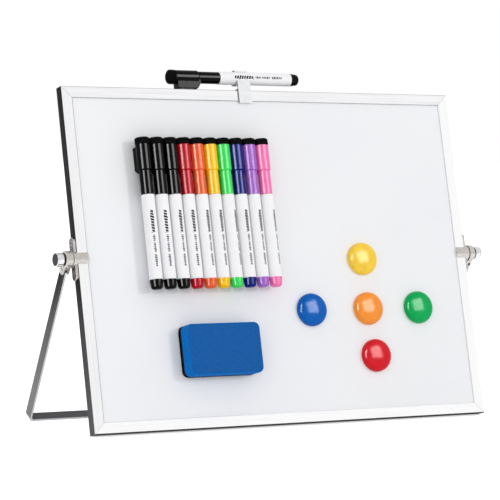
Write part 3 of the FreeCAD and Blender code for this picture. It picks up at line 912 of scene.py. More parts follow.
# The lips' inner edges show as lines of painted shade, darkest on the left rail; the right and bottom
# lips are a light copy, as painted light.
LIP_SHADE_LINE = DrawnMetal("frame_lip_edge", (166, 167, 170), shade=(144, 145, 148), gloss=(0.3, 0.4))
LIP_DEEP_SHADE = replace(
    LIP_SHADE_LINE, name="frame_lip_dark", colour=(116, 117, 120), shade=(92, 93, 96), lie=UPRIGHT
)
LIP_LIGHT = replace(
    LIP_SHADE_LINE, name="frame_lip_bright", colour=(236, 236, 238), shade=(228, 228, 230)
)
SEAM_METAL = replace(LIP_SHADE_LINE, name="frame_seam", colour=(120, 120, 122), shade=(96, 96, 98))
# Outer walls: their dark tone is a painted dark reflection on the aluminium, and the side walls' tone
# pales downwards as a painted reflection of the floor.
WALL_SKIN = {"gloss": (0.4, 0.5), "metal": 0.0, "specular": 0.04}
TOP_BOTTOM_WALL_REFLECTION = DrawnMetal("frame_wall", (34, 34, 36), shade=(14, 14, 15), line_size=0.0014, **WALL_SKIN)
SIDE_WALL_REFLECTION = GradedMetal(
    "frame_wall_left",
    (46, 46, 48),
    shade=(20, 20, 22),
    lie=UPRIGHT,
    line_size=0.0022,
    low=(100, 100, 102),
    start=-0.01,
    end=-0.15,
    **WALL_SKIN,
)
# The stand bar's tones by facing are painted light: dark outer faces that pale towards the foot as a
# painted reflection, a bright front edge as a painted highlight, a mid grey back edge as painted shade,
# and a dark top face on the foot as a painted reflection.
LEG_DARK_REFLECTION = replace(
    SIDE_WALL_REFLECTION,
    name="stand_metal",
    colour=(70, 70, 72),
    shade=(30, 30, 32),
    coordinates=stand_coordinates,
    low=(152, 152, 154),
    start=-0.024,
    end=-0.137,
)
LEG_FRONT_HIGHLIGHT = replace(
    LEG_DARK_REFLECTION, name="stand_edge", colour=(238, 238, 240), shade=(224, 224, 226), low=(226, 226, 228)
)
LEG_REAR_SHADE = replace(
    LEG_DARK_REFLECTION, name="stand_back", colour=(148, 148, 150), shade=(126, 126, 128), low=(166, 166, 168)
)
FOOT_DARK_REFLECTION = replace(
    LEG_DARK_REFLECTION,
    name="stand_foot",
    colour=(92, 92, 94),
    shade=(52, 52, 54),
    lie=(0.02, 1.0, 1.0),
    low=(90, 90, 92),
)
NICKEL = CastMetal("satin_nickel", (208, 203, 199), shade=(182, 178, 174))
# The clamp plate's outer face is painted darker, as painted shade.
CLAMP_SHADE = CastMetal(
    "clamp_side", (136, 134, 132), shade=(62, 61, 60), size=0.0016, gloss=(0.4, 0.55)
)
ZINC = CastMetal("zinc_plate", (176, 176, 178), shade=(120, 120, 124), size=0.0012)
# The chrome's darker mottled tone is a painted reflection of dark surroundings.
CHROME = CastMetal(
    "chrome_plate", (234, 234, 236), shade=(194, 194, 198), gloss=(0.05, 0.09), depth=0.000002
)
MAGNET_STEEL = CastMetal("magnet_plate", (150, 150, 154), shade=(120, 120, 124))
DARK_PLASTIC = Moulded("dark_plastic", (34, 33, 36), specular=0.12)
BLACK_RUBBER = Napped("black_rubber", (16, 16, 17), pale=(40, 40, 42), size=0.0004, depth=0.00004)
GREY_NYLON = Moulded("grey_nylon", (168, 168, 170), gloss=(0.42, 0.55))
CLIP_PLASTIC = Moulded("clip_plastic", (242, 243, 245), gloss=(0.26, 0.36))
# The clip's cut sides are painted grey, as painted shade.
CLIP_SHADE = replace(CLIP_PLASTIC, name="clip_side", colour=(132, 133, 136))
BARREL = Printed(
    "marker_barrel",
    (247, 247, 249),
    gloss=(0.16, 0.24),
    tone_drop=0.96,
    runs=(
        Dashes(0.0592, 0.0100, 0.0020, 0.0025, 0.35, 0.72),
        Dashes(0.0446, 0.0028, 0.0013, 0.0018, 0.3, 0.64),
        Dashes(0.0362, 0.0042, 0.0013, 0.0018, 0.3, 0.64),
        Dashes(0.0250, 0.0055, 0.0013, 0.0018, 0.3, 0.64),
    ),
)
FELT = Napped("black_felt", (2, 2, 3), pale=(12, 12, 13), size=0.0007, depth=0.0004, specular=0.02)
FOAM_SKIN = {"size": 0.0011, "depth": 0.00012, "rough": 0.8}
FOAM = Napped("blue_foam", (14, 82, 152), pale=(26, 96, 168), specular=0.15, **FOAM_SKIN)
# The foam's sides are a lighter blue than its front, as painted light, with the ink stain near the felt.
FOAM_SIDES_LIT_AND_INKED = StainedFoam(
    "blue_foam_edge",
    (0, 98, 180),
    pale=(2, 118, 204),
    specular=0.1,
    start=FOAM_BACK - 0.0026,
    end=FOAM_BACK - 0.0016,
    **FOAM_SKIN,
)
CORE = Napped("fibreboard", (150, 122, 88), pale=(190, 162, 126), size=0.0016, depth=0.0001)


# Geometry trees for what repeats or follows a path

GEOMETRY = "NodeSocketGeometry"
FINISH = "NodeSocketMaterial"


def shape_tree(name: str, openings: dict[str, Sequence[str]]) -> tuple[Tree, Any]:
    """Starts a geometry tree.

    Args:
        name: The tree's name.
        openings: Names of the inputs after the geometry, by their type.

    Returns:
        The tree, and the outputs of its input node.
    """
    tree = Tree(bpy.data.node_groups.new(name, "GeometryNodeTree"))
    tree.opening("Geometry", GEOMETRY)
    for kind, names in openings.items():
        for opening in names:
            tree.opening(opening, kind)
    tree.result("Geometry", GEOMETRY)
    return tree, tree.add("NodeGroupInput").outputs


def close_tree(
    tree: Tree, shape: NodeSocket, finish: Any, parts: Sequence[tuple[Any, Any]] = ()
) -> NodeTree:
    """Ends a geometry tree in plain meshes with their materials.

    Args:
        tree: The tree.
        shape: What it has made.
        finish: Material of the whole.
        parts: Each other material and the selection that has it.

    Returns:
        The finished node tree.
    """
    dressed = tree.add("GeometryNodeRealizeInstances", {0: shape}).outputs[0]
    for material, chosen in ((finish, True), *parts):
        inputs = {0: dressed, "Selection": chosen, "Material": material}
        dressed = tree.add("GeometryNodeSetMaterial", inputs).outputs[0]
    tree.add("NodeGroupOutput", {0: dressed})
    return tree.tree


def grown(holder: Object, tree: NodeTree, values: dict[str, Any]) -> Mesh:
    """Plain mesh that a geometry tree makes from an object, which is then removed.

    Args:
        holder: The object that the tree works on.
        tree: The geometry tree.
        values: Value of each named input.

    Returns:
        The mesh.
    """
    step = holder.modifiers.new("grow", "NODES")
    step.node_group = tree
    for item in tree.interface.items_tree:
        if item.in_out == "INPUT" and item.name in values:
            step[item.identifier] = values[item.name]
    return evaluated(holder)


def path_object(points: Sequence[Vector], closed: bool) -> Object:
    """Curve object of straight runs through points."""
    curve = bpy.data.curves.new("path", "CURVE")
    curve.dimensions = "3D"
    line = curve.splines.new("POLY")
    line.points.add(len(points) - 1)
    for knot, point in zip(line.points, points):
        knot.co = (*point, 1.0)
    line.use_cyclic_u = closed
    made = bpy.data.objects.new("path", curve)
    bpy.context.scene.collection.objects.link(made)
    return made


@cache
def rail_tree() -> NodeTree:
    """Sweeps a profile along z and mitres both ends towards the profile's +x."""
    sizes = ["Length", "Gap", "Middle", "Wall", "Lip"]
    finishes = ["Face Finish", "Back Finish", "Wall Finish", "Lip Finish"]
    tree, given = shape_tree("mitred_rail", {FLOAT: sizes, FINISH: finishes})
    half = tree.maths("MULTIPLY", given["Length"], 0.5)
    start = tree.joined(z=tree.maths("MULTIPLY", half, -1.0))
    line = tree.add("GeometryNodeCurvePrimitiveLine", {"Start": start, "End": tree.joined(z=half)})
    sweep = tree.add(
        "GeometryNodeCurveToMesh",
        {"Curve": line.outputs[0], "Profile Curve": given["Geometry"], "Fill Caps": True},
    )
    place = tree.split(tree.add("GeometryNodeInputPosition").outputs[0])
    setback = tree.maths("ADD", place[0], tree.maths("MULTIPLY", given["Gap"], 0.5))
    shift = tree.maths("MULTIPLY", tree.maths("SIGN", place[2]), tree.maths("MULTIPLY", setback, -1.0))
    inputs = {"Geometry": sweep.outputs[0], "Offset": tree.joined(z=shift)}
    mitred = tree.add("GeometryNodeSetPosition", inputs)
    # The back, the outer wall and the lip's inner edge take their own materials, which carry painted
    # shade and painted reflection.
    parts = [
        (given["Back Finish"], tree.maths("GREATER_THAN", place[1], given["Middle"])),
        (given["Wall Finish"], tree.maths("LESS_THAN", place[0], given["Wall"])),
        (given["Lip Finish"], tree.maths("GREATER_THAN", place[0], given["Lip"])),
    ]
    return close_tree(tree, mitred.outputs[0], given["Face Finish"], parts)


@cache
def bar_tree() -> NodeTree:
    """Sweeps a flat bar along a path in the xz plane and rounds its two ends."""
    sizes = ["Width", "Thickness", "Edge Radius", "End Radius"]
    finishes = ["Finish", "Foot Finish", "Front Edge", "Back Edge"]
    tree, given = shape_tree("flat_bar", {FLOAT: sizes, FINISH: finishes})
    parameter = tree.add("GeometryNodeSplineParameter").outputs["Length"]
    total = tree.add("GeometryNodeSplineLength").outputs["Length"]
    nearest = tree.maths("MINIMUM", parameter, tree.maths("SUBTRACT", total, parameter))
    store = tree.add(
        "GeometryNodeStoreNamedAttribute",
        {"Geometry": given["Geometry"], "Name": "from_end", "Value": nearest},
        data_type="FLOAT",
        domain="POINT",
    )
    upright = {"Curve": store.outputs[0], "Normal": (0, 1, 0)}
    level = tree.add("GeometryNodeSetCurveNormal", upright, mode="FREE")
    flat = tree.add(
        "GeometryNodeCurvePrimitiveQuadrilateral",
        {"Width": given["Width"], "Height": given["Thickness"]},
    )
    eased_flat = tree.add(
        "GeometryNodeFilletCurve",
        {"Curve": flat.outputs[0], "Radius": given["Edge Radius"], "Count": EDGE_STEPS},
        mode="POLY",
    )
    sweep = tree.add(
        "GeometryNodeCurveToMesh",
        {"Curve": level.outputs[0], "Profile Curve": eased_flat.outputs[0], "Fill Caps": True},
    )
    radius = given["End Radius"]
    rest = tree.maths("MAXIMUM", tree.maths("SUBTRACT", radius, tree.stored("from_end", "FLOAT")), 0.0)
    squares = [tree.maths("MULTIPLY", length, length) for length in (radius, rest)]
    chord = tree.maths("SQRT", tree.maths("SUBTRACT", *squares))
    half = tree.maths("MULTIPLY", given["Width"], 0.5)
    inset = tree.maths("SUBTRACT", radius, chord)
    scale = tree.maths("DIVIDE", tree.maths("SUBTRACT", half, inset), half)
    place = tree.add("GeometryNodeInputPosition").outputs[0]
    narrowed = tree.vector("MULTIPLY", place, tree.joined(1.0, scale, 1.0))
    ended = tree.add("GeometryNodeSetPosition", {"Geometry": sweep.outputs[0], "Position": narrowed})
    facing = tree.split(tree.add("GeometryNodeInputNormal").outputs[0])
    # The foot's top face and the two edges take their own materials, which carry painted reflection,
    # painted highlight and painted shade.
    parts = [
        (given["Foot Finish"], tree.maths("GREATER_THAN", facing[2], UPWARDS)),
        (given["Front Edge"], tree.maths("LESS_THAN", facing[1], -EDGE_ON)),
        (given["Back Edge"], tree.maths("GREATER_THAN", facing[1], EDGE_ON)),
    ]
    return close_tree(tree, ended.outputs[0], given["Finish"], parts)


@cache
def fastener_tree() -> NodeTree:
    """Sets a copy of a fastener at each point, turned by the point's aim."""
    tree, given = shape_tree("fasteners", {"NodeSocketObject": ["Fastener"], FINISH: ["Finish"]})
    source = tree.add("GeometryNodeObjectInfo", {"Object": given["Fastener"]})
    aim = tree.stored("aim", "FLOAT_VECTOR")
    copies = tree.copies(given["Geometry"], source.outputs["Geometry"], aim)
    return close_tree(tree, copies, given["Finish"])


@cache
def fibre_tree() -> NodeTree:
    """Grows short fibres on a felt body, away from the faces that are turned to its seat."""
    sizes = {FLOAT: ["Density", "Length", "Thickness"], VECTOR: ["Seat"]}
    tree, given = shape_tree("felt_fibres", {**sizes, "NodeSocketInt": ["Seed"], FINISH: ["Finish"]})
    normal = tree.add("GeometryNodeInputNormal").outputs[0]
    towards = tree.add("ShaderNodeVectorMath", {0: normal, 1: given["Seat"]}, operation="DOT_PRODUCT")
    free = tree.maths("LESS_THAN", towards.outputs["Value"], SEAT_SHARE)
    shared = {name: given[name] for name in ("Density", "Seed")}
    spread = tree.add(
        "GeometryNodeDistributePointsOnFaces",
        {"Mesh": given["Geometry"], "Selection": free, **shared},
    )
    size = {"Radius Bottom": given["Thickness"], "Radius Top": 0.0, "Depth": given["Length"]}
    hair = tree.add("GeometryNodeMeshCone", {"Vertices": 3, **size}, fill_type="NONE")
    limits = {0: -FIBRE_LEAN, 1: FIBRE_LEAN, "Seed": given["Seed"]}
    lean = tree.add("FunctionNodeRandomValue", limits, data_type="FLOAT_VECTOR").outputs[0]
    inputs = {0: spread.outputs["Rotation"], 1: lean}
    turn = tree.add("FunctionNodeRotateRotation", inputs, rotation_space="LOCAL")
    copies = tree.copies(spread.outputs["Points"], hair.outputs["Mesh"], turn.outputs[0])
    joined = tree.add("GeometryNodeJoinGeometry")
    tree.feed(joined.inputs[0], copies)
    tree.feed(joined.inputs[0], given["Geometry"])
    return close_tree(tree, joined.outputs[0], given["Finish"])


def spots_object(spots: Sequence[tuple[Vector, Matrix]]) -> Object:
    """Object with a point at each spot, which holds its turn as the aim."""
    mesh = bpy.data.meshes.new("spots")
    mesh.from_pydata([spot for spot, _ in spots], [], [])
    aim = mesh.attributes.new("aim", "FLOAT_VECTOR", "POINT")
    for item, (_, turn) in zip(aim.data, spots):
        item.vector = turn.to_euler()
    return loose_object(mesh)


# Pieces


@dataclass
class Piece:
    """What a finished piece says: its name, body, slot and the CAD nodes that it stands for."""

    name: str
    body: str
    slot: str
    replaces: tuple[str, ...] = ()


def settle(piece: Piece, mesh: Mesh, finishes: Sequence[Finish] = ()) -> Object:
    """Turns a mesh in its place into a piece of the object.

    Args:
        piece: What the piece says of itself.
        mesh: The mesh, in the row frame.
        finishes: Its finishes, or none where the mesh has its materials.

    Returns:
        The piece's object.
    """
    mesh.name = piece.name
    if finishes:
        mesh.materials.clear()
        for finish in finishes:
            mesh.materials.append(finish.material())
    made = bpy.data.objects.new(piece.name, mesh)
    bpy.context.scene.collection.objects.link(made)
    mesh.shade_smooth()
    mesh.set_sharp_from_angle(angle=SHARP_ANGLE)
    even = made.modifiers.new("even_normals", "WEIGHTED_NORMAL")
    even.keep_sharp = True
    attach(made, piece.body)
    if piece.replaces:
        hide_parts(*piece.replaces)
    LOG.info("%s on %s, %d faces", piece.name, piece.body, len(mesh.polygons))
    return made


def fasten(piece: Piece, mesh: Mesh, space: Space, spots: list[Vector], finish: Finish) -> None:
    """Sets a fastener that points along z at spots and at their mirror spots, as one piece.

    Args:
        piece: What the group says of itself.
        mesh: The fastener.
        space: The space that the spots are in.
        spots: Places on the right-hand side.
        finish: Finish of the fasteners.
    """
    source = loose_object(mesh)
    places = []
    for side in Side:
        turn = axes((0, side.value, 0), (0, 0, 1), (side.value, 0, 0))
        turn = space.matrix.to_3x3().to_4x4() @ turn
        places += [(space.matrix @ mirrored(side) @ spot, turn) for spot in spots]
    values = {"Fastener": source, "Finish": finish.material()}
    made = grown(spots_object(places), fastener_tree(), values)
    bpy.data.objects.remove(source)
    settle(piece, made)


def dress_node(node: str, finish: Finish) -> None:
    """Gives a CAD node that stays its finish."""
    materials = frame["nodes"][node].data.materials
    materials.clear()
    materials.append(finish.material())
    LOG.info("%s kept, in %s", node, finish.name)


@dataclass(frozen=True)
class RailLook:
    """Finishes of a rail, and how far its wall's and its lip's tones reach from its edges, in metres;
    the tones carry painted light, shade and reflection.
    """

    face: Finish
    back: Finish
    wall: Finish
    lip: Finish
    wall_reach: float
    lip_reach: float = 0.0003


@dataclass
class Board:
    """The panel: two enamelled sheets on a core, in a frame of four mitred rails."""

    wall: float = 0.0012
    lip: float = 0.001
    edge_radius: float = 0.0008
    lip_radius: float = 0.0004
    mitre_gap: float = 0.00012
    mitre_ease: float = 0.00028
    mitre_angle: float = 60

    def build(self) -> None:
        """Dresses the panel and makes the rails."""
        for node in ("front_sheet", "back_sheet"):
            dress_node(node, SHEET)
        dress_node("board_core", CORE)
        dress_node("corner_keys", DARK_PLASTIC)
        low, high = BOARD.box("left_rail", "right_rail")
        half_height = (high.z - low.z) / 2
        # The rails differ in tone as painted light and shade: the left lip darkest, the right and bottom
        # faces and lips lighter, dark walls and darker backs.
        left = RailLook(LEFT_FACE, SIDE_BACK_SHADE, SIDE_WALL_REFLECTION, LIP_DEEP_SHADE, wall_reach=0.0002, lip_reach=0.0006)
        right = RailLook(RIGHT_FACE, SIDE_BACK_SHADE, SIDE_WALL_REFLECTION, LIP_LIGHT, wall_reach=0.0002)
        top = RailLook(FACE_METAL, FRAME_BACK_SHADE, TOP_BOTTOM_WALL_REFLECTION, LIP_SHADE_LINE, wall_reach=0.0004)
        bottom = RailLook(LIT_FACE, FRAME_BACK_SHADE, TOP_BOTTOM_WALL_REFLECTION, LIP_LIGHT, wall_reach=0.0009)
        across, up = Vector((1, 0, 0)), Vector((0, 0, 1))
        for name, inward, half, along, look in (
            ("left_rail", across, high.x, up, left),
            ("right_rail", -across, high.x, up, right),
            ("top_rail", -up, half_height, across, top),
            ("bottom_rail", up, half_height, across, bottom),
        ):
            mesh = self.rail((high - low).dot(along), high.y - low.y, look)
            mesh.materials.append(SEAM_METAL.material())
            seamed = eased(mesh, self.mitre_ease, 1, self.mitre_angle, len(mesh.materials) - 1)
            made = moved(seamed, BOARD.at(-inward * half, axes(inward, (0, 1, 0), along)))
            settle(Piece(f"{name}_extrusion", "board", "satin_aluminium", (name,)), made)

    def rail(self, length: float, depth: float, look: RailLook) -> Mesh:
        """One rail: x in from its outer wall, y in from its front, z along it."""
        inner = depth - self.lip
        corners = [
            (0, 0, self.edge_radius),
            (FRAME_FACE, 0, self.lip_radius),
            (FRAME_FACE, self.lip, 0),
            (self.wall, self.lip, 0),
            (self.wall, inner, 0),
            (FRAME_FACE, inner, 0),
            (FRAME_FACE, depth, self.lip_radius),
            (0, depth, self.edge_radius),
        ]
        profile = path_object([Vector((a, b, 0)) for a, b in rounded(corners)], True)
        values = {
            "Length": length,
            "Gap": self.mitre_gap,
            "Middle": depth / 2,
            "Wall": look.wall_reach,
            "Lip": FRAME_FACE - look.lip_reach,
            "Face Finish": look.face.material(),
            "Back Finish": look.back.material(),
            "Wall Finish": look.wall.material(),
            "Lip Finish": look.lip.material(),
        }
        return grown(profile, rail_tree(), values)


@dataclass
class SideClamp:
    """A screwed plate with half-round jaws over the frame, and the pivot bolt's seat."""

    height: float = 0.038
    width: float = 0.008
    edge_radius: float = 0.0007
    jaw_radius: float = 0.0071
    jaw_end_radius: float = 0.0005
    screw_inset: float = 0.005
    screw_radius: float = 0.0015
    screw_head_radius: float = 0.0027
    screw_head_depth: float = 0.0014
    screw_length: float = 0.008
    slot_width: float = 0.0007
    slot_depth: float = 0.0008
    slot_share: float = 0.7
    screw_tip_share: float = 0.4
    screw_rim_share: float = 0.12
    screw_ease: float = 0.00006
    bolt_head_radius: float = 0.0042
    bolt_head_height: float = 0.0015
    bolt_head_edge: float = 0.0002
    bolt_tip_edge: float = 0.0004
    boss_height: float = 0.0014

    def __post_init__(self) -> None:
        """Reads the plate's place from the frame."""
        self.boss = BOARD.box("clamp_right")[1].x
        self.outer = self.boss - self.boss_height
        self.frame_depth = BOARD.box("right_rail")[1].y
        self.half_board = BOARD.box("right_rail")[1].x
        self.middle = self.frame_depth / 2

    def build(self) -> None:
        """Makes both clamps, their screws and the bolts."""
        made = self.clamp()
        # The plate's outer face, not the bolt's boss, gets the darker tone, which is painted shade.
        inside = self.boss - SEAT_GAP
        outward = [face.normal.x > SQUARELY and face.center.x < inside for face in made.polygons]
        for side in Side:
            piece = Piece(f"side_clamp_{side.word}", "board", "satin_nickel", (f"clamp_{side.word}",))
            fitted = settle(piece, moved(made, BOARD.matrix @ mirrored(side)), [NICKEL, CLAMP_SHADE])
            fitted.data.polygons.foreach_set("material_index", outward)
        self.screws()
        self.bolts()

    def screw_places(self) -> list[float]:
        """Heights of the screws in a plate."""
        reach = self.height / 2 - self.screw_inset
        return [-reach, reach]

    def plate(self) -> Mesh:
        """Plate with round ends, its outer rim rounded over."""
        half_w, half_h = self.width / 2, self.height / 2
        rings = [self.plate_ring(half_w, half_h, self.half_board)]
        for inset, drop in rim_steps(self.edge_radius):
            rings.append(self.plate_ring(half_w - inset, half_h - inset, self.outer - drop))
        return skinned(rings)

    def plate_ring(self, half_w: float, half_h: float, x: float) -> list[Vector]:
        """Outline of the plate at a distance from the board's middle."""
        return [Vector((x, self.middle + a, b)) for a, b in stadium(half_w, half_h)]

    def clamp(self) -> Mesh:
        """Right-hand clamp in the board's space."""
        start = self.half_board - FRAME_FACE
        corners = [
            (0, start, 0),
            (self.jaw_radius, start, self.jaw_end_radius),
            (self.jaw_radius, self.boss, self.jaw_end_radius),
            (0, self.boss, 0),
        ]
        fork = turned(corners, FINE_SEGMENTS)
        fork.transform(Matrix.Translation((0, self.middle, 0)) @ ALONG_X)
        gap = brick(
            (start - OVERRUN, -SEAT_GAP, -self.jaw_radius - OVERRUN),
            (self.half_board, self.frame_depth + SEAT_GAP, self.jaw_radius + OVERRUN),
        )
        body = carved(self.plate(), carved(fork, gap), how=Cut.UNION)
        seat = self.half_board - OVERRUN
        head_top = self.half_board + self.bolt_head_height + FIT_GAP
        bore = rod_x(BOLT_RADIUS + FIT_GAP, seat, self.boss + OVERRUN, self.middle)
        head = rod_x(self.bolt_head_radius + FIT_GAP, seat, head_top, self.middle)
        return carved(body, bore, head, *(self.countersink(z) for z in self.screw_places()))

    def countersink(self, z: float) -> Mesh:
        """Cutter for a screw's hole and its cone."""
        hole = self.screw_radius + FIT_GAP
        mouth = self.screw_head_radius + FIT_GAP
        corners = [
            (0, self.half_board - OVERRUN, 0),
            (hole, self.half_board - OVERRUN, 0),
            (hole, self.outer - self.screw_head_depth, 0),
            (mouth, self.outer, 0),
            (mouth, self.outer + OVERRUN, 0),
            (0, self.outer + OVERRUN, 0),
        ]
        made = turned(corners, SMALL_SEGMENTS)
        made.transform(Matrix.Translation((0, self.middle, z)) @ ALONG_X)
        return made

    def screw(self) -> Mesh:
        """Countersunk screw along z, its head's face at zero."""
        tip = -self.screw_length
        head = -self.screw_head_depth
        corners = [
            (0, tip, 0),
            (self.screw_radius * self.screw_tip_share, tip, 0),
            (self.screw_radius, tip + self.screw_radius, 0),
            (self.screw_radius, head, 0),
            (self.screw_head_radius, head * self.screw_rim_share, 0),
            (self.screw_head_radius, 0, 0),
            (0, 0, 0),
        ]
        half = self.slot_width / 2
        arm = self.screw_head_radius * self.slot_share
        depth = -self.slot_depth
        cross = carved(
            brick((-half, -arm, depth), (half, arm, OVERRUN)),
            brick((-arm, -half, depth), (arm, half, OVERRUN)),
            how=Cut.UNION,
        )
        return eased(carved(turned(corners, SMALL_SEGMENTS), cross), self.screw_ease, 1)

    def screws(self) -> None:
        """All four screws as one group."""
        group = Piece("plate_screws", "board", "zinc_steel", ("clamp_screws",))
        spots = [Vector((self.outer, self.middle, z)) for z in self.screw_places()]
        fasten(group, self.screw(), BOARD, spots, ZINC)

    def bolts(self) -> None:
        """Both pivot bolts, with their threads' end chamfer."""
        length = BOARD.box("pivot_bolts")[1].x - self.half_board
        corners = [
            (0, 0, 0),
            (self.bolt_head_radius, 0, self.bolt_head_edge),
            (self.bolt_head_radius, self.bolt_head_height, self.bolt_head_edge),
            (BOLT_RADIUS, self.bolt_head_height, 0),
            (BOLT_RADIUS, length, self.bolt_tip_edge),
            (0, length, 0),
        ]
        group = Piece("pivot_bolt_pair", "board", "zinc_steel", ("pivot_bolts",))
        spots = [Vector((self.half_board, self.middle, 0))]
        fasten(group, turned(corners, SMALL_SEGMENTS), BOARD, spots, ZINC)


@dataclass
class Stand:
    """The U of flat bar, its two turning brackets, rivets and washers."""

    thickness: float = 0.002
    edge_radius: float = 0.0004
    inner_bend: float = 0.002
    end_radius: float = 0.003
    bracket_radius: float = 0.0075
    bracket_back_edge: float = 0.0002
    bracket_rim_radius: float = 0.0017
    tail_inset: float = 0.0003
    tail_taper: float = 0.0003
    tail_tip_width: float = 0.0084
    tail_round_share: float = 0.4
    tail_ease: float = 0.0004
    rivet_radius: float = 0.0015
    rivet_head_radius: float = 0.0024
    rivet_head_height: float = 0.0008
    washer_edge: float = 0.00015

    def __post_init__(self) -> None:
        """Reads the stand's places from the frame."""
        low, high = STAND.box("stand_bar")
        self.leg_x = high.x - self.thickness / 2
        self.leg_end = -high.z
        self.leg_length = -low.z
        self.face = high.y - low.y
        low, high = STAND.box("leg_bracket_right")
        self.bracket_x, self.bracket_end = low.x, high.x
        self.tail_length = -low.z
        self.rivet_drop = (self.leg_end + self.tail_length) / 2
        self.rivet_seat = self.bracket_end - self.tail_inset - self.tail_taper

    def build(self) -> None:
        """Makes the bar, the brackets and what fastens them."""
        bar = Piece("bent_bar", "stand", "satin_aluminium", ("stand_bar",))
        settle(bar, moved(self.bar(), STAND.matrix))
        bracket = self.bracket()
        for side in Side:
            piece = Piece(f"bracket_{side.word}", "stand", "satin_nickel", (f"leg_bracket_{side.word}",))
            settle(piece, moved(bracket, STAND.matrix @ mirrored(side)), [NICKEL])
        rivets = Piece("bracket_rivets", "stand", "satin_nickel", ("leg_rivets",))
        drop = Vector((self.bracket_x, 0, -self.rivet_drop))
        fasten(rivets, self.rivet(), STAND, [drop], NICKEL)
        for node, name, finish, slot in (
            ("friction_washers", "friction_washer_pair", GREY_NYLON, "grey_nylon"),
            ("knob_washers", "knob_washer_pair", BLACK_RUBBER, "black_rubber"),
        ):
            end = Vector((STAND.box(node)[1].x, 0, 0))
            fasten(Piece(name, "stand", slot, (node,)), self.washer(node), STAND, [end], finish)

    def bar(self) -> Mesh:
        """Bar bent into two legs and a foot, along the middle of its thickness."""
        foot = self.leg_length - self.thickness / 2
        bend = self.inner_bend + self.thickness / 2
        corners = [
            (-self.leg_x, -self.leg_end, 0),
            (-self.leg_x, -foot, bend),
            (self.leg_x, -foot, bend),
            (self.leg_x, -self.leg_end, 0),
        ]
        line = rounded(corners, 2 * ROUND_STEPS)
        turns = [math.pi / 2 * step / ROUND_STEPS for step in range(1, ROUND_STEPS + 1)]
        drops = [self.leg_end + self.end_radius * (1 - math.cos(turn)) for turn in turns]
        start = [(-self.leg_x, -drop) for drop in drops]
        end = [(self.leg_x, -drop) for drop in reversed(drops)]
        points = [line[0], *start, *line[1:-1], *end, line[-1]]
        path = path_object([Vector((a, 0, b)) for a, b in points], False)
        values = {
            "Width": self.face,
            "Thickness": self.thickness,
            "Edge Radius": self.edge_radius,
            "End Radius": self.end_radius,
            "Finish": LEG_DARK_REFLECTION.material(),
            "Foot Finish": FOOT_DARK_REFLECTION.material(),
            "Front Edge": LEG_FRONT_HIGHLIGHT.material(),
            "Back Edge": LEG_REAR_SHADE.material(),
        }
        return grown(path, bar_tree(), values)

    def bracket(self) -> Mesh:
        """Right-hand bracket: a round boss with a forked tail that holds the leg."""
        start, end = self.bracket_x, self.bracket_end
        boss = turned(
            [
                (0, start, 0),
                (self.bracket_radius, start, self.bracket_back_edge),
                (self.bracket_radius, end, self.bracket_rim_radius),
                (0, end, 0),
            ],
            FINE_SEGMENTS,
        )
        boss.transform(ALONG_X)
        half = self.tail_tip_width / 2
        shoulder = self.bracket_radius - self.bracket_rim_radius
        tip = self.tail_tip_width * self.tail_round_share
        outline = rounded(
            [
                (-shoulder, 0, 0),
                (-half, -self.tail_length, tip),
                (half, -self.tail_length, tip),
                (shoulder, 0, 0),
            ]
        )
        tail_x = end - self.tail_inset
        tail = prism(outline, lambda y, z: Vector((start, y, z)), Vector((tail_x - start, 0, 0)))
        wedge = prism(
            [
                (tail_x, -self.bracket_radius),
                (tail_x - self.tail_taper, -self.tail_length - OVERRUN),
                (tail_x + OVERRUN, -self.tail_length - OVERRUN),
                (tail_x + OVERRUN, -self.bracket_radius),
            ],
            lambda x, z: Vector((x, -self.bracket_radius, z)),
            Vector((0, 2 * self.bracket_radius, 0)),
        )
        tail = eased(carved(tail, wedge), self.tail_ease)
        half_slot = self.thickness / 2 + FIT_GAP
        slot = brick(
            (self.leg_x - half_slot, -self.bracket_radius, -self.tail_length - OVERRUN),
            (self.leg_x + half_slot, self.bracket_radius, -self.leg_end + FIT_GAP),
        )
        body = carved(boss, tail, how=Cut.UNION)
        inner, outer = start - OVERRUN, end + OVERRUN
        bore = rod_x(BOLT_RADIUS + FIT_GAP, inner, outer)
        pin = rod_x(self.rivet_radius + FIT_GAP, inner, outer, z=-self.rivet_drop)
        seat = rod_x(self.rivet_head_radius + FIT_GAP, self.rivet_seat, outer, z=-self.rivet_drop)
        return carved(body, slot, bore, pin, seat)

    def rivet(self) -> Mesh:
        """Rivet along z, from the bracket's inner face to its domed head."""
        seat = self.rivet_seat - self.bracket_x
        crown = self.rivet_head_height / 2
        return turned(
            [
                (0, 0, 0),
                (self.rivet_radius, 0, 0),
                (self.rivet_radius, seat, 0),
                (self.rivet_head_radius, seat, 0),
                (self.rivet_head_radius, seat + self.rivet_head_height, crown),
                (0, seat + self.rivet_head_height, 0),
            ],
            SMALL_SEGMENTS,
        )

    def washer(self, node: str) -> Mesh:
        """Washer as wide and thick as a node's, with its outer face at zero."""
        low, high = STAND.box(node)
        near = min(point.x for point in STAND.points(node) if point.x > 0)
        bore = BOLT_RADIUS + FIT_GAP
        edge = self.washer_edge
        corners = [
            (bore, near - high.x, edge),
            (high.z, near - high.x, edge),
            (high.z, 0, edge),
            (bore, 0, edge),
        ]
        return turned(corners, FINE_SEGMENTS, loop=True)


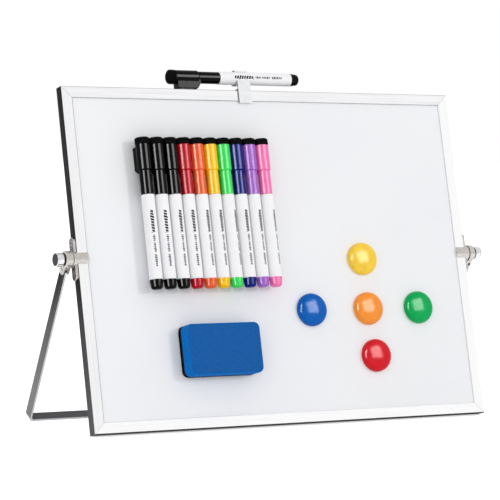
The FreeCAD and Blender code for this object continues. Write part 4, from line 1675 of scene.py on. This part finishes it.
@dataclass
class Knob:
    """A chromed thumb knob with a dark cap in its end."""

    radius: float = 0.0061
    edge_radius: float = 0.0006
    rim_width: float = 0.0008
    mouth_edge: float = 0.0001
    cap_depth: float = 0.0014
    cap_proud: float = 0.0003

    def build(self) -> None:
        """Makes both knobs and their caps."""
        low, high = BOARD.box("knob_right")
        bolt_end = BOARD.box("pivot_bolts")[1].x
        middle = BOARD.at(Vector((0, (low.y + high.y) / 2, 0)))
        mouth = self.radius - self.rim_width
        bore = BOLT_RADIUS + FIT_GAP
        floor = high.x - self.cap_depth
        body = turned(
            [
                (0, bolt_end + FIT_GAP, 0),
                (bore, bolt_end + FIT_GAP, 0),
                (bore, low.x, 0),
                (self.radius, low.x, self.edge_radius),
                (self.radius, high.x, self.edge_radius),
                (mouth + FIT_GAP, high.x, self.mouth_edge),
                (mouth + FIT_GAP, floor, 0),
                (0, floor, 0),
            ],
            FINE_SEGMENTS,
        )
        end = high.x + self.cap_proud
        corners = [(0, floor, 0), (mouth, floor, 0), (mouth, end, self.cap_proud), (0, end, 0)]
        cap = turned(corners, FINE_SEGMENTS)
        for side in Side:
            place = middle @ mirrored(side) @ ALONG_X
            knob = f"knob_{side.word}"
            settle(Piece(f"thumb_{knob}", knob, "chrome", (knob,)), moved(body, place), [CHROME])
            piece = Piece(f"end_cap_{side.word}", knob, "black_plastic", (f"knob_cap_{side.word}",))
            settle(piece, moved(cap, place), [DARK_PLASTIC])


@dataclass
class PenClip:
    """Moulded clip that hooks over the top rail and grips a marker above it."""

    thickness: float = 0.0012
    front_reach: float = 0.0122
    back_reach: float = 0.009
    corner_radius: float = 0.001
    upper_angle: float = math.radians(115)
    lower_angle: float = math.radians(-150)
    bore: float = 0.00605
    ease: float = 0.00018
    ease_angle: float = 50
    overlap: float = 0.0003
    arc_steps: int = 56

    def __post_init__(self) -> None:
        """Reads the clip's places from the frame."""
        low, high = BOARD.box("pen_clip")
        rail_high = BOARD.box("top_rail")[1]
        marker_low, marker_high = BOARD.box("marker_clipped")
        self.start, self.end = low.x, high.x
        self.depth, self.top = rail_high.y, rail_high.z
        self.grip = (marker_low + marker_high) / 2

    def build(self) -> None:
        """Makes the clip."""
        along = Vector((self.end - self.start, 0, 0))
        hook = prism(self.hook(), self.place, along)
        jaws = prism(self.jaws(), self.place, along)
        front = -SEAT_GAP
        stem = brick(
            (self.start, front - self.thickness, self.top - self.thickness),
            (self.end, front, self.grip.z + self.bore * math.sin(self.lower_angle)),
        )
        whole = carved(hook, jaws, stem, how=Cut.UNION)
        bore = rod_x(self.bore, self.start - OVERRUN, self.end + OVERRUN, self.grip.y, self.grip.z)
        made = eased(carved(whole, bore), self.ease, angle=self.ease_angle)
        # The cut sides get the grey tone, which is painted shade.
        shaded_sides = [abs(face.normal.x) > SQUARELY for face in made.polygons]
        piece = Piece("rail_pen_clip", "pen_clip", "white_plastic", ("pen_clip",))
        clip = settle(piece, moved(made, BOARD.matrix), [CLIP_PLASTIC, CLIP_SHADE])
        clip.data.polygons.foreach_set("material_index", shaded_sides)

    def place(self, y: float, z: float) -> Vector:
        """Point of the clip's outline in the board's space."""
        return Vector((self.start, y, z))

    def hook(self) -> list[Point]:
        """Outline of the part over the rail."""
        front, back = -SEAT_GAP, self.depth + SEAT_GAP
        top = self.top + SEAT_GAP
        return rounded(
            [
                (front - self.thickness, self.top - self.front_reach, 0),
                (front, self.top - self.front_reach, 0),
                (front, top, 0),
                (back, top, 0),
                (back, self.top - self.back_reach, 0),
                (back + self.thickness, self.top - self.back_reach, 0),
                (back + self.thickness, top + self.thickness, self.corner_radius + self.thickness),
                (front - self.thickness, top + self.thickness, 0),
            ]
        )

    def jaws(self) -> list[Point]:
        """Outline of the part that grips the marker."""
        sweep = self.upper_angle - self.lower_angle
        turns = [self.lower_angle + sweep * step / self.arc_steps for step in range(self.arc_steps + 1)]
        outer = self.bore + self.thickness
        inner = self.bore - self.overlap
        ring = [(outer, turn) for turn in turns] + [(inner, turn) for turn in reversed(turns)]
        return [(self.grip.y + r * math.cos(turn), self.grip.z + r * math.sin(turn)) for r, turn in ring]


@dataclass
class ButtonMagnets:
    """Five domed buttons, each with a disc magnet in its back."""

    radius: float = 0.015
    height: float = 0.0086
    rim_height: float = 0.0016
    shoulder_radius: float = 0.0054
    back_round: float = 0.0004
    pocket_radius: float = 0.009
    pocket_depth: float = 0.0041
    shoulder_steps: int = 10
    crown_steps: int = 14

    def build(self) -> None:
        """Makes the buttons and dresses their discs."""
        dome = self.dome()
        for hue in ButtonHue:
            word = hue.name.lower()
            node = f"magnet_button_{word}"
            low, high = BOARD.box(node)
            spot = Vector(((low.x + high.x) / 2, high.y, (low.z + high.z) / 2))
            turn = axes((1, 0, 0), (0, 0, 1), (0, -1, 0))
            piece = Piece(f"domed_button_{word}", f"button_{word}", f"button_{word}", (node,))
            finish = Moulded(f"button_{word}", hue.value, gloss=(0.12, 0.2), size=0.006)
            settle(piece, moved(dome, BOARD.at(spot, turn)), [finish])
            dress_node(f"magnet_disc_{word}", MAGNET_STEEL)

    def dome(self) -> Mesh:
        """Button on its back, with the pocket for its magnet."""
        rise = self.height - self.rim_height
        shoulder = self.shoulder_radius
        across = self.radius - shoulder
        crown = (across**2 + rise**2 - shoulder**2) / (2 * (rise - shoulder))
        bend = math.atan2(crown - rise, across)
        rest = math.pi / 2 - bend
        edge = rounded(
            [
                (0, self.pocket_depth, 0),
                (self.pocket_radius, self.pocket_depth, 0),
                (self.pocket_radius, 0, self.back_round),
                (self.radius, 0, self.back_round),
                (self.radius, self.rim_height, 0),
            ]
        )
        flank = arc(shoulder, (across, self.rim_height), 0, bend, self.shoulder_steps)
        top = arc(crown, (0, self.height - crown), bend, rest, self.crown_steps)
        builder = Builder()
        builder.turned(edge + flank + top, FINE_SEGMENTS)
        return builder.mesh()


@dataclass(frozen=True)
class Nap:
    """Fibres on a felt: how many to a square metre, their size in metres and their seed."""

    density: float
    length: float
    seed: int
    thickness: float = 0.00004

    def grow(self, felt: Mesh, seat: Triple) -> Mesh:
        """Felt with its fibres, in its finish.

        Args:
            felt: The felt's body.
            seat: The way that its hidden side faces, which stays bare.

        Returns:
            The mesh.
        """
        values = {
            "Density": self.density,
            "Length": self.length,
            "Thickness": self.thickness,
            "Seat": seat,
            "Seed": self.seed,
            "Finish": FELT.material(),
        }
        return grown(loose_object(felt), fibre_tree(), values)


@dataclass
class Eraser:
    """Foam block with a felt face against the board."""

    corner_radius: float = 0.0055
    edge_radius: float = 0.0016
    felt_edge: float = 0.0005
    front_share: float = 0.8
    corner_steps: int = 10
    nap: Nap = Nap(density=1.6e6, length=0.0008, seed=3)

    def __post_init__(self) -> None:
        """Reads the foam's place from the frame."""
        self.low, self.high = BOARD.box("eraser_foam")
        self.middle = (self.low + self.high) / 2
        self.half = (self.high - self.low) / 2

    def build(self) -> None:
        """Makes the foam and the felt and dresses the magnet strip."""
        magnet_low, magnet_high = BOARD.box("eraser_magnet")
        gap = Vector((FIT_GAP, FIT_GAP, FIT_GAP))
        strip_low, strip_high = magnet_low - gap, magnet_high + gap
        strip_high.y = self.high.y + OVERRUN
        foam = carved(self.slab(self.low.y, self.high.y, self.edge_radius), brick(strip_low, strip_high))
        piece = Piece("foam_block", "eraser", "blue_foam", ("eraser_foam",))
        block = settle(piece, moved(foam, BOARD.matrix), [FOAM, FOAM_SIDES_LIT_AND_INKED])
        self.tint_sides(block)
        felt_low, felt_high = BOARD.box("eraser_felt")
        felt = self.nap.grow(self.slab(felt_high.y, felt_low.y, self.felt_edge), (0.0, -1.0, 0.0))
        piece = Piece("felt_wiper", "eraser", "black_felt", ("eraser_felt",))
        settle(piece, moved(felt, BOARD.matrix))
        dress_node("eraser_magnet", MAGNET_STEEL)

    def tint_sides(self, block: Object) -> None:
        """Gives the block's second finish, a lighter blue that is painted light, to all but its flat
        front.
        """
        front = BOARD.matrix.to_3x3() @ Vector((0, -1, 0))
        for face in block.data.polygons:
            face.material_index = int(face.normal.dot(front) < self.front_share)

    def slab(self, face: float, back: float, radius: float) -> Mesh:
        """Slab with rounded corners from its back to a face with a rounded rim."""
        way = 1 if face > back else -1
        rims = [self.ring(inset, face - way * drop) for inset, drop in rim_steps(radius)]
        return skinned([self.ring(0, back), *rims])

    def ring(self, inset: float, y: float) -> list[Vector]:
        """Outline of the eraser, drawn in by an inset."""
        half_w, half_h = self.half.x - inset, self.half.z - inset
        corners = [(a * half_w, b * half_h, self.corner_radius - inset) for a, b in SQUARE]
        outline = rounded(corners, self.corner_steps)
        return [Vector((self.middle.x + a, y, self.middle.z + b)) for a, b in outline]


@dataclass
class Marker:
    """One marker: its name, its colour and the way that its printed bars face."""

    name: str
    hue: Hue
    print_turn: float

    def place(self) -> Matrix:
        """Matrix that takes a marker standing on its plug to its place."""
        low, high = BOARD.box(f"marker_{self.name}")
        middle = (low + high) / 2
        if high.x - low.x > high.z - low.z:
            level = axes((0, 1, 0), (0, 0, -1), (-1, 0, 0))
            return BOARD.at(Vector((high.x, middle.y, middle.z)), level)
        return BOARD.at(Vector((middle.x, middle.y, low.z)))

    def plastic(self) -> Moulded:
        """Finish of the cap and the plug, with a fainter and sharper gleam on black."""
        finish = Moulded(f"marker_{self.hue.name.lower()}", self.hue.value, gloss=(0.2, 0.28))
        return replace(finish, specular=0.065, gloss=(0.1, 0.16)) if self.hue is Hue.BLACK else finish

    @property
    def bodies(self) -> tuple[str, str]:
        """Bodies of the barrel and of the cap."""
        return f"marker_{self.name}", f"marker_cap_{self.name}"


@dataclass
class MarkerSet:
    """The ten markers on the board and the one in the clip, measured from the end plug."""

    plug_length: float = 0.0086
    barrel_length: float = 0.0752
    skirt_length: float = 0.0222
    head_length: float = 0.0231
    felt_height: float = 0.0059
    barrel_radius: float = 0.00595
    barrel_wall: float = 0.0013
    barrel_edge: float = 0.0004
    plug_taper: float = 0.001
    plug_edge: float = 0.0026
    plug_spigot: float = 0.006
    neck_length: float = 0.0115
    holder_radius: float = 0.0031
    holder_length: float = 0.009
    nib_radius: float = 0.002
    nib_reach: float = 0.006
    nib_round: float = 0.0016
    reservoir_gap: float = 0.00075
    skirt_step: float = 0.00045
    head_step: float = 0.0004
    cap_wall: float = 0.0008
    cap_edge: float = 0.0005
    groove_width: float = 0.0011
    groove_depth: float = 0.0003
    cap_end_wall: float = 0.005
    nib_room: float = 0.0012
    felt_bulge: float = 0.0001
    felt_edge: float = 0.0016
    block_width: float = 0.009
    block_height: float = 0.00455
    block_length: float = 0.024
    block_slope: float = 0.0035
    block_inset: float = 0.0013
    block_edge: float = 0.0008
    block_ease: float = 0.0005
    magnet_width: float = 0.0058
    magnet_length: float = 0.0138
    magnet_thickness: float = 0.0026
    magnet_ease: float = 0.00012
    nap: Nap = Nap(density=2.4e6, length=0.0007, seed=11)
    markers: list[Marker] = field(
        default_factory=lambda: [
            Marker("black_a", Hue.BLACK, -98),
            Marker("black_b", Hue.BLACK, -98),
            Marker("black_c", Hue.BLACK, -85),
            Marker("red", Hue.RED, -91),
            Marker("orange", Hue.ORANGE, -77),
            Marker("yellow", Hue.YELLOW, -77),
            Marker("green", Hue.GREEN, -57),
            Marker("blue", Hue.BLUE, -85),
            Marker("purple", Hue.PURPLE, -77),
            Marker("pink", Hue.PINK, -57),
            Marker("clipped", Hue.BLACK, 180),
        ]
    )

    def __post_init__(self) -> None:
        """Works out the stations along a marker and the radii that follow."""
        self.barrel_end = self.plug_length + self.barrel_length
        self.step = self.barrel_end + self.skirt_length
        self.top = self.step + self.head_length
        self.length = self.top + self.felt_height
        self.holder_end = self.barrel_end + self.neck_length + self.holder_length
        self.bore = self.barrel_radius - self.barrel_wall
        self.skirt_radius = self.barrel_radius - self.skirt_step
        self.head_radius = self.barrel_radius + self.head_step
        self.neck_radius = self.skirt_radius - self.cap_wall - SEAT_GAP
        self.reach = self.head_radius + self.block_height

    def build(self) -> None:
        """Makes every marker from one set of meshes."""
        barrel, plug, ink = self.barrel(), self.plug(), self.ink()
        cap, magnet, felt = self.cap(), self.magnet(), self.felt()
        on_block = [face.center.y > self.head_radius for face in cap.polygons]
        for marker in self.markers:
            place = marker.place()
            body, cap_body = marker.bodies
            word = marker.hue.name.lower()
            hue = marker.plastic()
            dull = replace(hue, name=f"block_{word}", specular=0.05, gloss=(0.3, 0.4))
            turn = Matrix.Rotation(math.radians(marker.print_turn), 4, "Z")
            name = marker.name
            piece = Piece(f"barrel_{name}", body, "marker_barrel", (body,))
            settle(piece, moved(barrel, place @ turn), [BARREL])
            settle(Piece(f"plug_{name}", body, f"cap_{word}"), moved(plug, place), [hue])
            settle(Piece(f"nib_{name}", body, "black_felt"), moved(ink, place), [FELT])
            piece = Piece(f"cap_{name}", cap_body, f"cap_{word}", (cap_body,))
            shell = settle(piece, moved(cap, place), [hue, dull])
            shell.data.polygons.foreach_set("material_index", on_block)
            piece = Piece(f"cap_magnet_{name}", cap_body, "magnet_steel")
            settle(piece, moved(magnet, place), [MAGNET_STEEL])
            settle(Piece(f"cap_felt_{name}", cap_body, "black_felt"), moved(felt, place))

    def barrel(self) -> Mesh:
        """Barrel with its neck and nib holder, and a UV map in metres round it."""
        end = self.barrel_end - self.barrel_wall
        edge = self.barrel_edge
        nib_bore = self.nib_radius + FIT_GAP
        made = turned(
            [
                (self.bore, self.plug_length, 0),
                (self.barrel_radius, self.plug_length, edge),
                (self.barrel_radius, self.barrel_end, edge),
                (self.neck_radius, self.barrel_end, 0),
                (self.neck_radius, self.barrel_end + self.neck_length, edge),
                (self.holder_radius, self.holder_end, 0),
                (nib_bore, self.holder_end, 0),
                (nib_bore, end, 0),
                (self.bore, end, 0),
            ],
            FINE_SEGMENTS,
            loop=True,
        )
        layer = made.uv_layers.new(name=BARREL_UV)
        for face in made.polygons:
            facing = math.atan2(face.center.y, face.center.x)
            for corner in face.loop_indices:
                point = made.vertices[made.loops[corner].vertex_index].co
                turn = math.atan2(point.y, point.x)
                turn += 2 * math.pi * round((facing - turn) / (2 * math.pi))
                layer.data[corner].uv = (turn * self.barrel_radius, point.z)
        return made

    def plug(self) -> Mesh:
        """End plug with the spigot that holds it in the barrel."""
        spigot = self.bore - FIT_GAP
        return turned(
            [
                (0, 0, 0),
                (self.barrel_radius - self.plug_taper, 0, self.plug_edge),
                (self.barrel_radius, self.plug_length, 0),
                (spigot, self.plug_length, 0),
                (spigot, self.plug_length + self.plug_spigot, 0),
                (0, self.plug_length + self.plug_spigot, 0),
            ],
            FINE_SEGMENTS,
        )

    def ink(self) -> Mesh:
        """Ink reservoir and nib in one."""
        start = self.plug_length + self.plug_spigot
        end = self.barrel_end - self.barrel_wall
        tip = self.holder_end + self.nib_reach
        radius = self.bore - self.reservoir_gap
        return turned(
            [
                (0, start, 0),
                (radius, start, 0),
                (radius, end, 0),
                (self.nib_radius, end, 0),
                (self.nib_radius, tip, self.nib_round),
                (0, tip, 0),
            ],
            SMALL_SEGMENTS,
        )

    def magnet_range(self, gap: float, beyond: float) -> tuple[Triple, Triple]:
        """Lowest and highest corner of the cap's magnet, or with a gap its pocket."""
        block_top = self.top - self.block_inset
        middle = (2 * block_top - self.block_length + self.block_slope) / 2
        half_w, half_l = self.magnet_width / 2 + gap, self.magnet_length / 2 + gap
        back = self.reach - FIT_GAP
        low = (-half_w, back - self.magnet_thickness - gap, middle - half_l)
        return low, (half_w, back + beyond, middle + half_l)

    def magnet(self) -> Mesh:
        """Bar magnet in the cap's block."""
        return eased(brick(*self.magnet_range(0, 0)), self.magnet_ease)

    def cap(self) -> Mesh:
        """Stepped cap with its magnet block, bored for the neck and the nib."""
        start = self.barrel_end + SEAT_GAP
        shell = turned(
            [
                (0, start, 0),
                (self.skirt_radius, start, self.cap_edge),
                (self.skirt_radius, self.step - self.groove_width, 0),
                (self.skirt_radius - self.groove_depth, self.step - self.groove_width / 2, 0),
                (self.skirt_radius, self.step, 0),
                (self.head_radius, self.step, self.cap_edge),
                (self.head_radius, self.top, self.cap_edge),
                (0, self.top, 0),
            ],
            FINE_SEGMENTS,
        )
        neck_bore = self.neck_radius + SEAT_GAP
        nib_bore = self.holder_radius + self.nib_room
        bore = turned(
            [
                (0, self.barrel_end - OVERRUN, 0),
                (neck_bore, self.barrel_end - OVERRUN, 0),
                (neck_bore, self.barrel_end + self.neck_length + SEAT_GAP, 0),
                (nib_bore, self.holder_end, 0),
                (nib_bore, self.top - self.cap_end_wall, self.cap_edge),
                (0, self.top - self.cap_end_wall, 0),
            ],
            SMALL_SEGMENTS,
        )
        whole = carved(shell, self.block(), how=Cut.UNION)
        return carved(whole, brick(*self.magnet_range(FIT_GAP, OVERRUN)), bore)

    def block(self) -> Mesh:
        """Block on the cap's board side, sloped at its lower end."""
        top = self.top - self.block_inset
        foot = top - self.block_length
        outline = rounded(
            [
                (0, foot, 0),
                (self.skirt_radius, foot, 0),
                (self.reach, foot + self.block_slope, self.block_edge),
                (self.reach, top, self.block_edge),
                (0, top, 0),
            ]
        )
        half = self.block_width / 2
        body = prism(outline, lambda y, z: Vector((-half, y, z)), Vector((self.block_width, 0, 0)))
        return eased(body, self.block_ease)

    def felt(self) -> Mesh:
        """Felt wiper on the cap's top, with its nap."""
        radius = self.head_radius + self.felt_bulge
        body = turned(
            [
                (0, self.top, 0),
                (radius, self.top, self.cap_edge),
                (radius, self.length, self.felt_edge),
                (0, self.length, 0),
            ],
            SMALL_SEGMENTS,
        )
        return self.nap.grow(body, (0.0, 0.0, -1.0))


class Role(Enum):
    """What a lamp does: it lights surfaces, or it shows as a gleam on the glossy accessories."""

    LIGHT = "light"
    GLEAM = "gleam"


@dataclass(frozen=True)
class Lamp:
    """A soft rectangular lamp, placed round the board's middle; angles are in degrees."""

    name: str
    azimuth: float
    elevation: float
    distance: float
    width: float
    height: float
    power: float
    role: Role


@dataclass
class Studio:
    """Floor, world, lamps and the photograph's camera, with turns in radians and lengths in pixels."""

    floor_size: float = 12.0
    floor_colour: Colour = (243, 243, 243)
    floor_glow: float = 0.6
    sky_light: float = 0.77
    picture_width: float = 500
    focal_length: float = 2407
    sensor: float = 36.0
    clip: Range = (0.05, 50.0)
    camera_place: Triple = (-1.12266, -1.8218, -0.33555)
    yaw: float = 0.540
    pitch: float = 0.159
    roll: float = -0.109
    centre_shift: Point = (-0.001, 0.0002)
    lamps: tuple[Lamp, ...] = (
        Lamp("key_lamp", 29, 20, 3.0, 0.5, 0.5, 16.0, Role.LIGHT),
        Lamp("left_fill", -45, 5, 0.9, 0.6, 0.6, 0.95, Role.LIGHT),
        Lamp("key_gleam", 26, 25, 3.0, 1.83, 1.66, 270.0, Role.GLEAM),
        Lamp("left_gleam", -64, 20, 2.0, 0.8, 1.6, 230.0, Role.GLEAM),
    )
    gleaming: tuple[str, ...] = ("domed_button", "plug_", "cap_")

    def build(self) -> None:
        """Sets up the studio."""
        self.floor()
        self.world()
        for lamp in self.lamps:
            self.hang(lamp)
        self.camera()

    def seen(self, tree: Tree) -> NodeSocket:
        """Share of a ray that shows the background: seen, mirrored or seen through glass."""
        path = tree.add("ShaderNodeLightPath").outputs
        mirrored_too = tree.maths("MAXIMUM", path["Is Camera Ray"], path["Is Glossy Ray"])
        return tree.maths("MAXIMUM", mirrored_too, path["Is Transmission Ray"])

    def floor(self) -> None:
        """Plain pale floor that glows a little where it is seen, and keeps the shadow."""
        half = self.floor_size / 2
        mesh = bpy.data.meshes.new("studio_floor")
        mesh.from_pydata([(a * half, b * half, 0) for a, b in SQUARE], [], [(0, 1, 2, 3)])
        made = bpy.data.materials.new("studio_floor")
        made.use_nodes = True
        made.node_tree.nodes.clear()
        tree = Tree(made.node_tree)
        inputs = {
            "Base Color": linear(self.floor_colour),
            "Roughness": 1.0,
            "Specular IOR Level": 0.0,
            "Emission Color": (1, 1, 1, 1),
            "Emission Strength": tree.maths("MULTIPLY", self.seen(tree), self.floor_glow),
        }
        shader = tree.add("ShaderNodeBsdfPrincipled", inputs)
        tree.add("ShaderNodeOutputMaterial", {"Surface": shader.outputs[0]})
        mesh.materials.append(made)
        loose_object(mesh)

    def world(self) -> None:
        """White world that lights the object at a plain level."""
        world = bpy.data.worlds.new("studio_world")
        world.use_nodes = True
        world.node_tree.nodes.clear()
        tree = Tree(world.node_tree)
        strength = tree.graded(self.seen(tree), self.sky_light, 1.0)
        light = tree.add("ShaderNodeBackground", {"Color": (1, 1, 1, 1), "Strength": strength})
        tree.add("ShaderNodeOutputWorld", {"Surface": light.outputs[0]})
        bpy.context.scene.world = world

    def hang(self, lamp: Lamp) -> None:
        """Hangs a lamp and turns it to the board's middle."""
        data = bpy.data.lights.new(lamp.name, "AREA")
        data.shape = "RECTANGLE"
        data.size, data.size_y = lamp.width, lamp.height
        data.energy = lamp.power
        made = bpy.data.objects.new(lamp.name, data)
        bpy.context.scene.collection.objects.link(made)
        across, up = math.radians(lamp.azimuth), math.radians(lamp.elevation)
        way = Vector((math.sin(across) * math.cos(up), -math.cos(across) * math.cos(up), math.sin(up)))
        middle = BOARD.matrix.to_translation()
        made.location = middle + way * lamp.distance
        made.rotation_euler = way.to_track_quat("Z", "Y").to_euler()
        made.visible_glossy = lamp.role is Role.GLEAM
        made.visible_diffuse = lamp.role is Role.LIGHT
        if lamp.role is Role.GLEAM:
            made.light_linking.receiver_collection = self.gleamers(lamp.name)

    def gleamers(self, lamp: str) -> Collection:
        """Glossy accessories that a gleam shows on."""
        group = bpy.data.collections.new(f"{lamp}_shows_on")
        for piece in bpy.context.scene.objects:
            if piece.name.startswith(self.gleaming):
                group.objects.link(piece)
        return group

    def camera(self) -> None:
        """Camera with the photograph's viewpoint and framing."""
        data = bpy.data.cameras.new("photo_camera")
        data.sensor_width = self.sensor
        data.lens = self.focal_length / self.picture_width * self.sensor
        data.shift_x, data.shift_y = self.centre_shift
        data.clip_start, data.clip_end = self.clip
        made = bpy.data.objects.new("photo_camera", data)
        bpy.context.scene.collection.objects.link(made)
        level = math.cos(self.pitch)
        ahead = Vector((math.sin(self.yaw) * level, math.cos(self.yaw) * level, math.sin(self.pitch)))
        right = Vector((math.cos(self.yaw), -math.sin(self.yaw), 0))
        up = right.cross(ahead)
        turn = Matrix.Rotation(-self.roll, 4, ahead)
        made.matrix_world = BOARD.at(Vector(self.camera_place), turn @ axes(right, up, -ahead))
        bpy.context.scene.camera = made


def main() -> None:
    """Builds the easel's looks and the studio."""
    logging.basicConfig(level=logging.INFO, format="%(name)s: %(message)s")
    bpy.context.scene.view_settings.view_transform = "Standard"
    Board().build()
    SideClamp().build()
    Stand().build()
    Knob().build()
    PenClip().build()
    ButtonMagnets().build()
    Eraser().build()
    MarkerSet().build()
    Studio().build()
    LOG.info("sizes written")


if __name__ == "__main__":
    main()
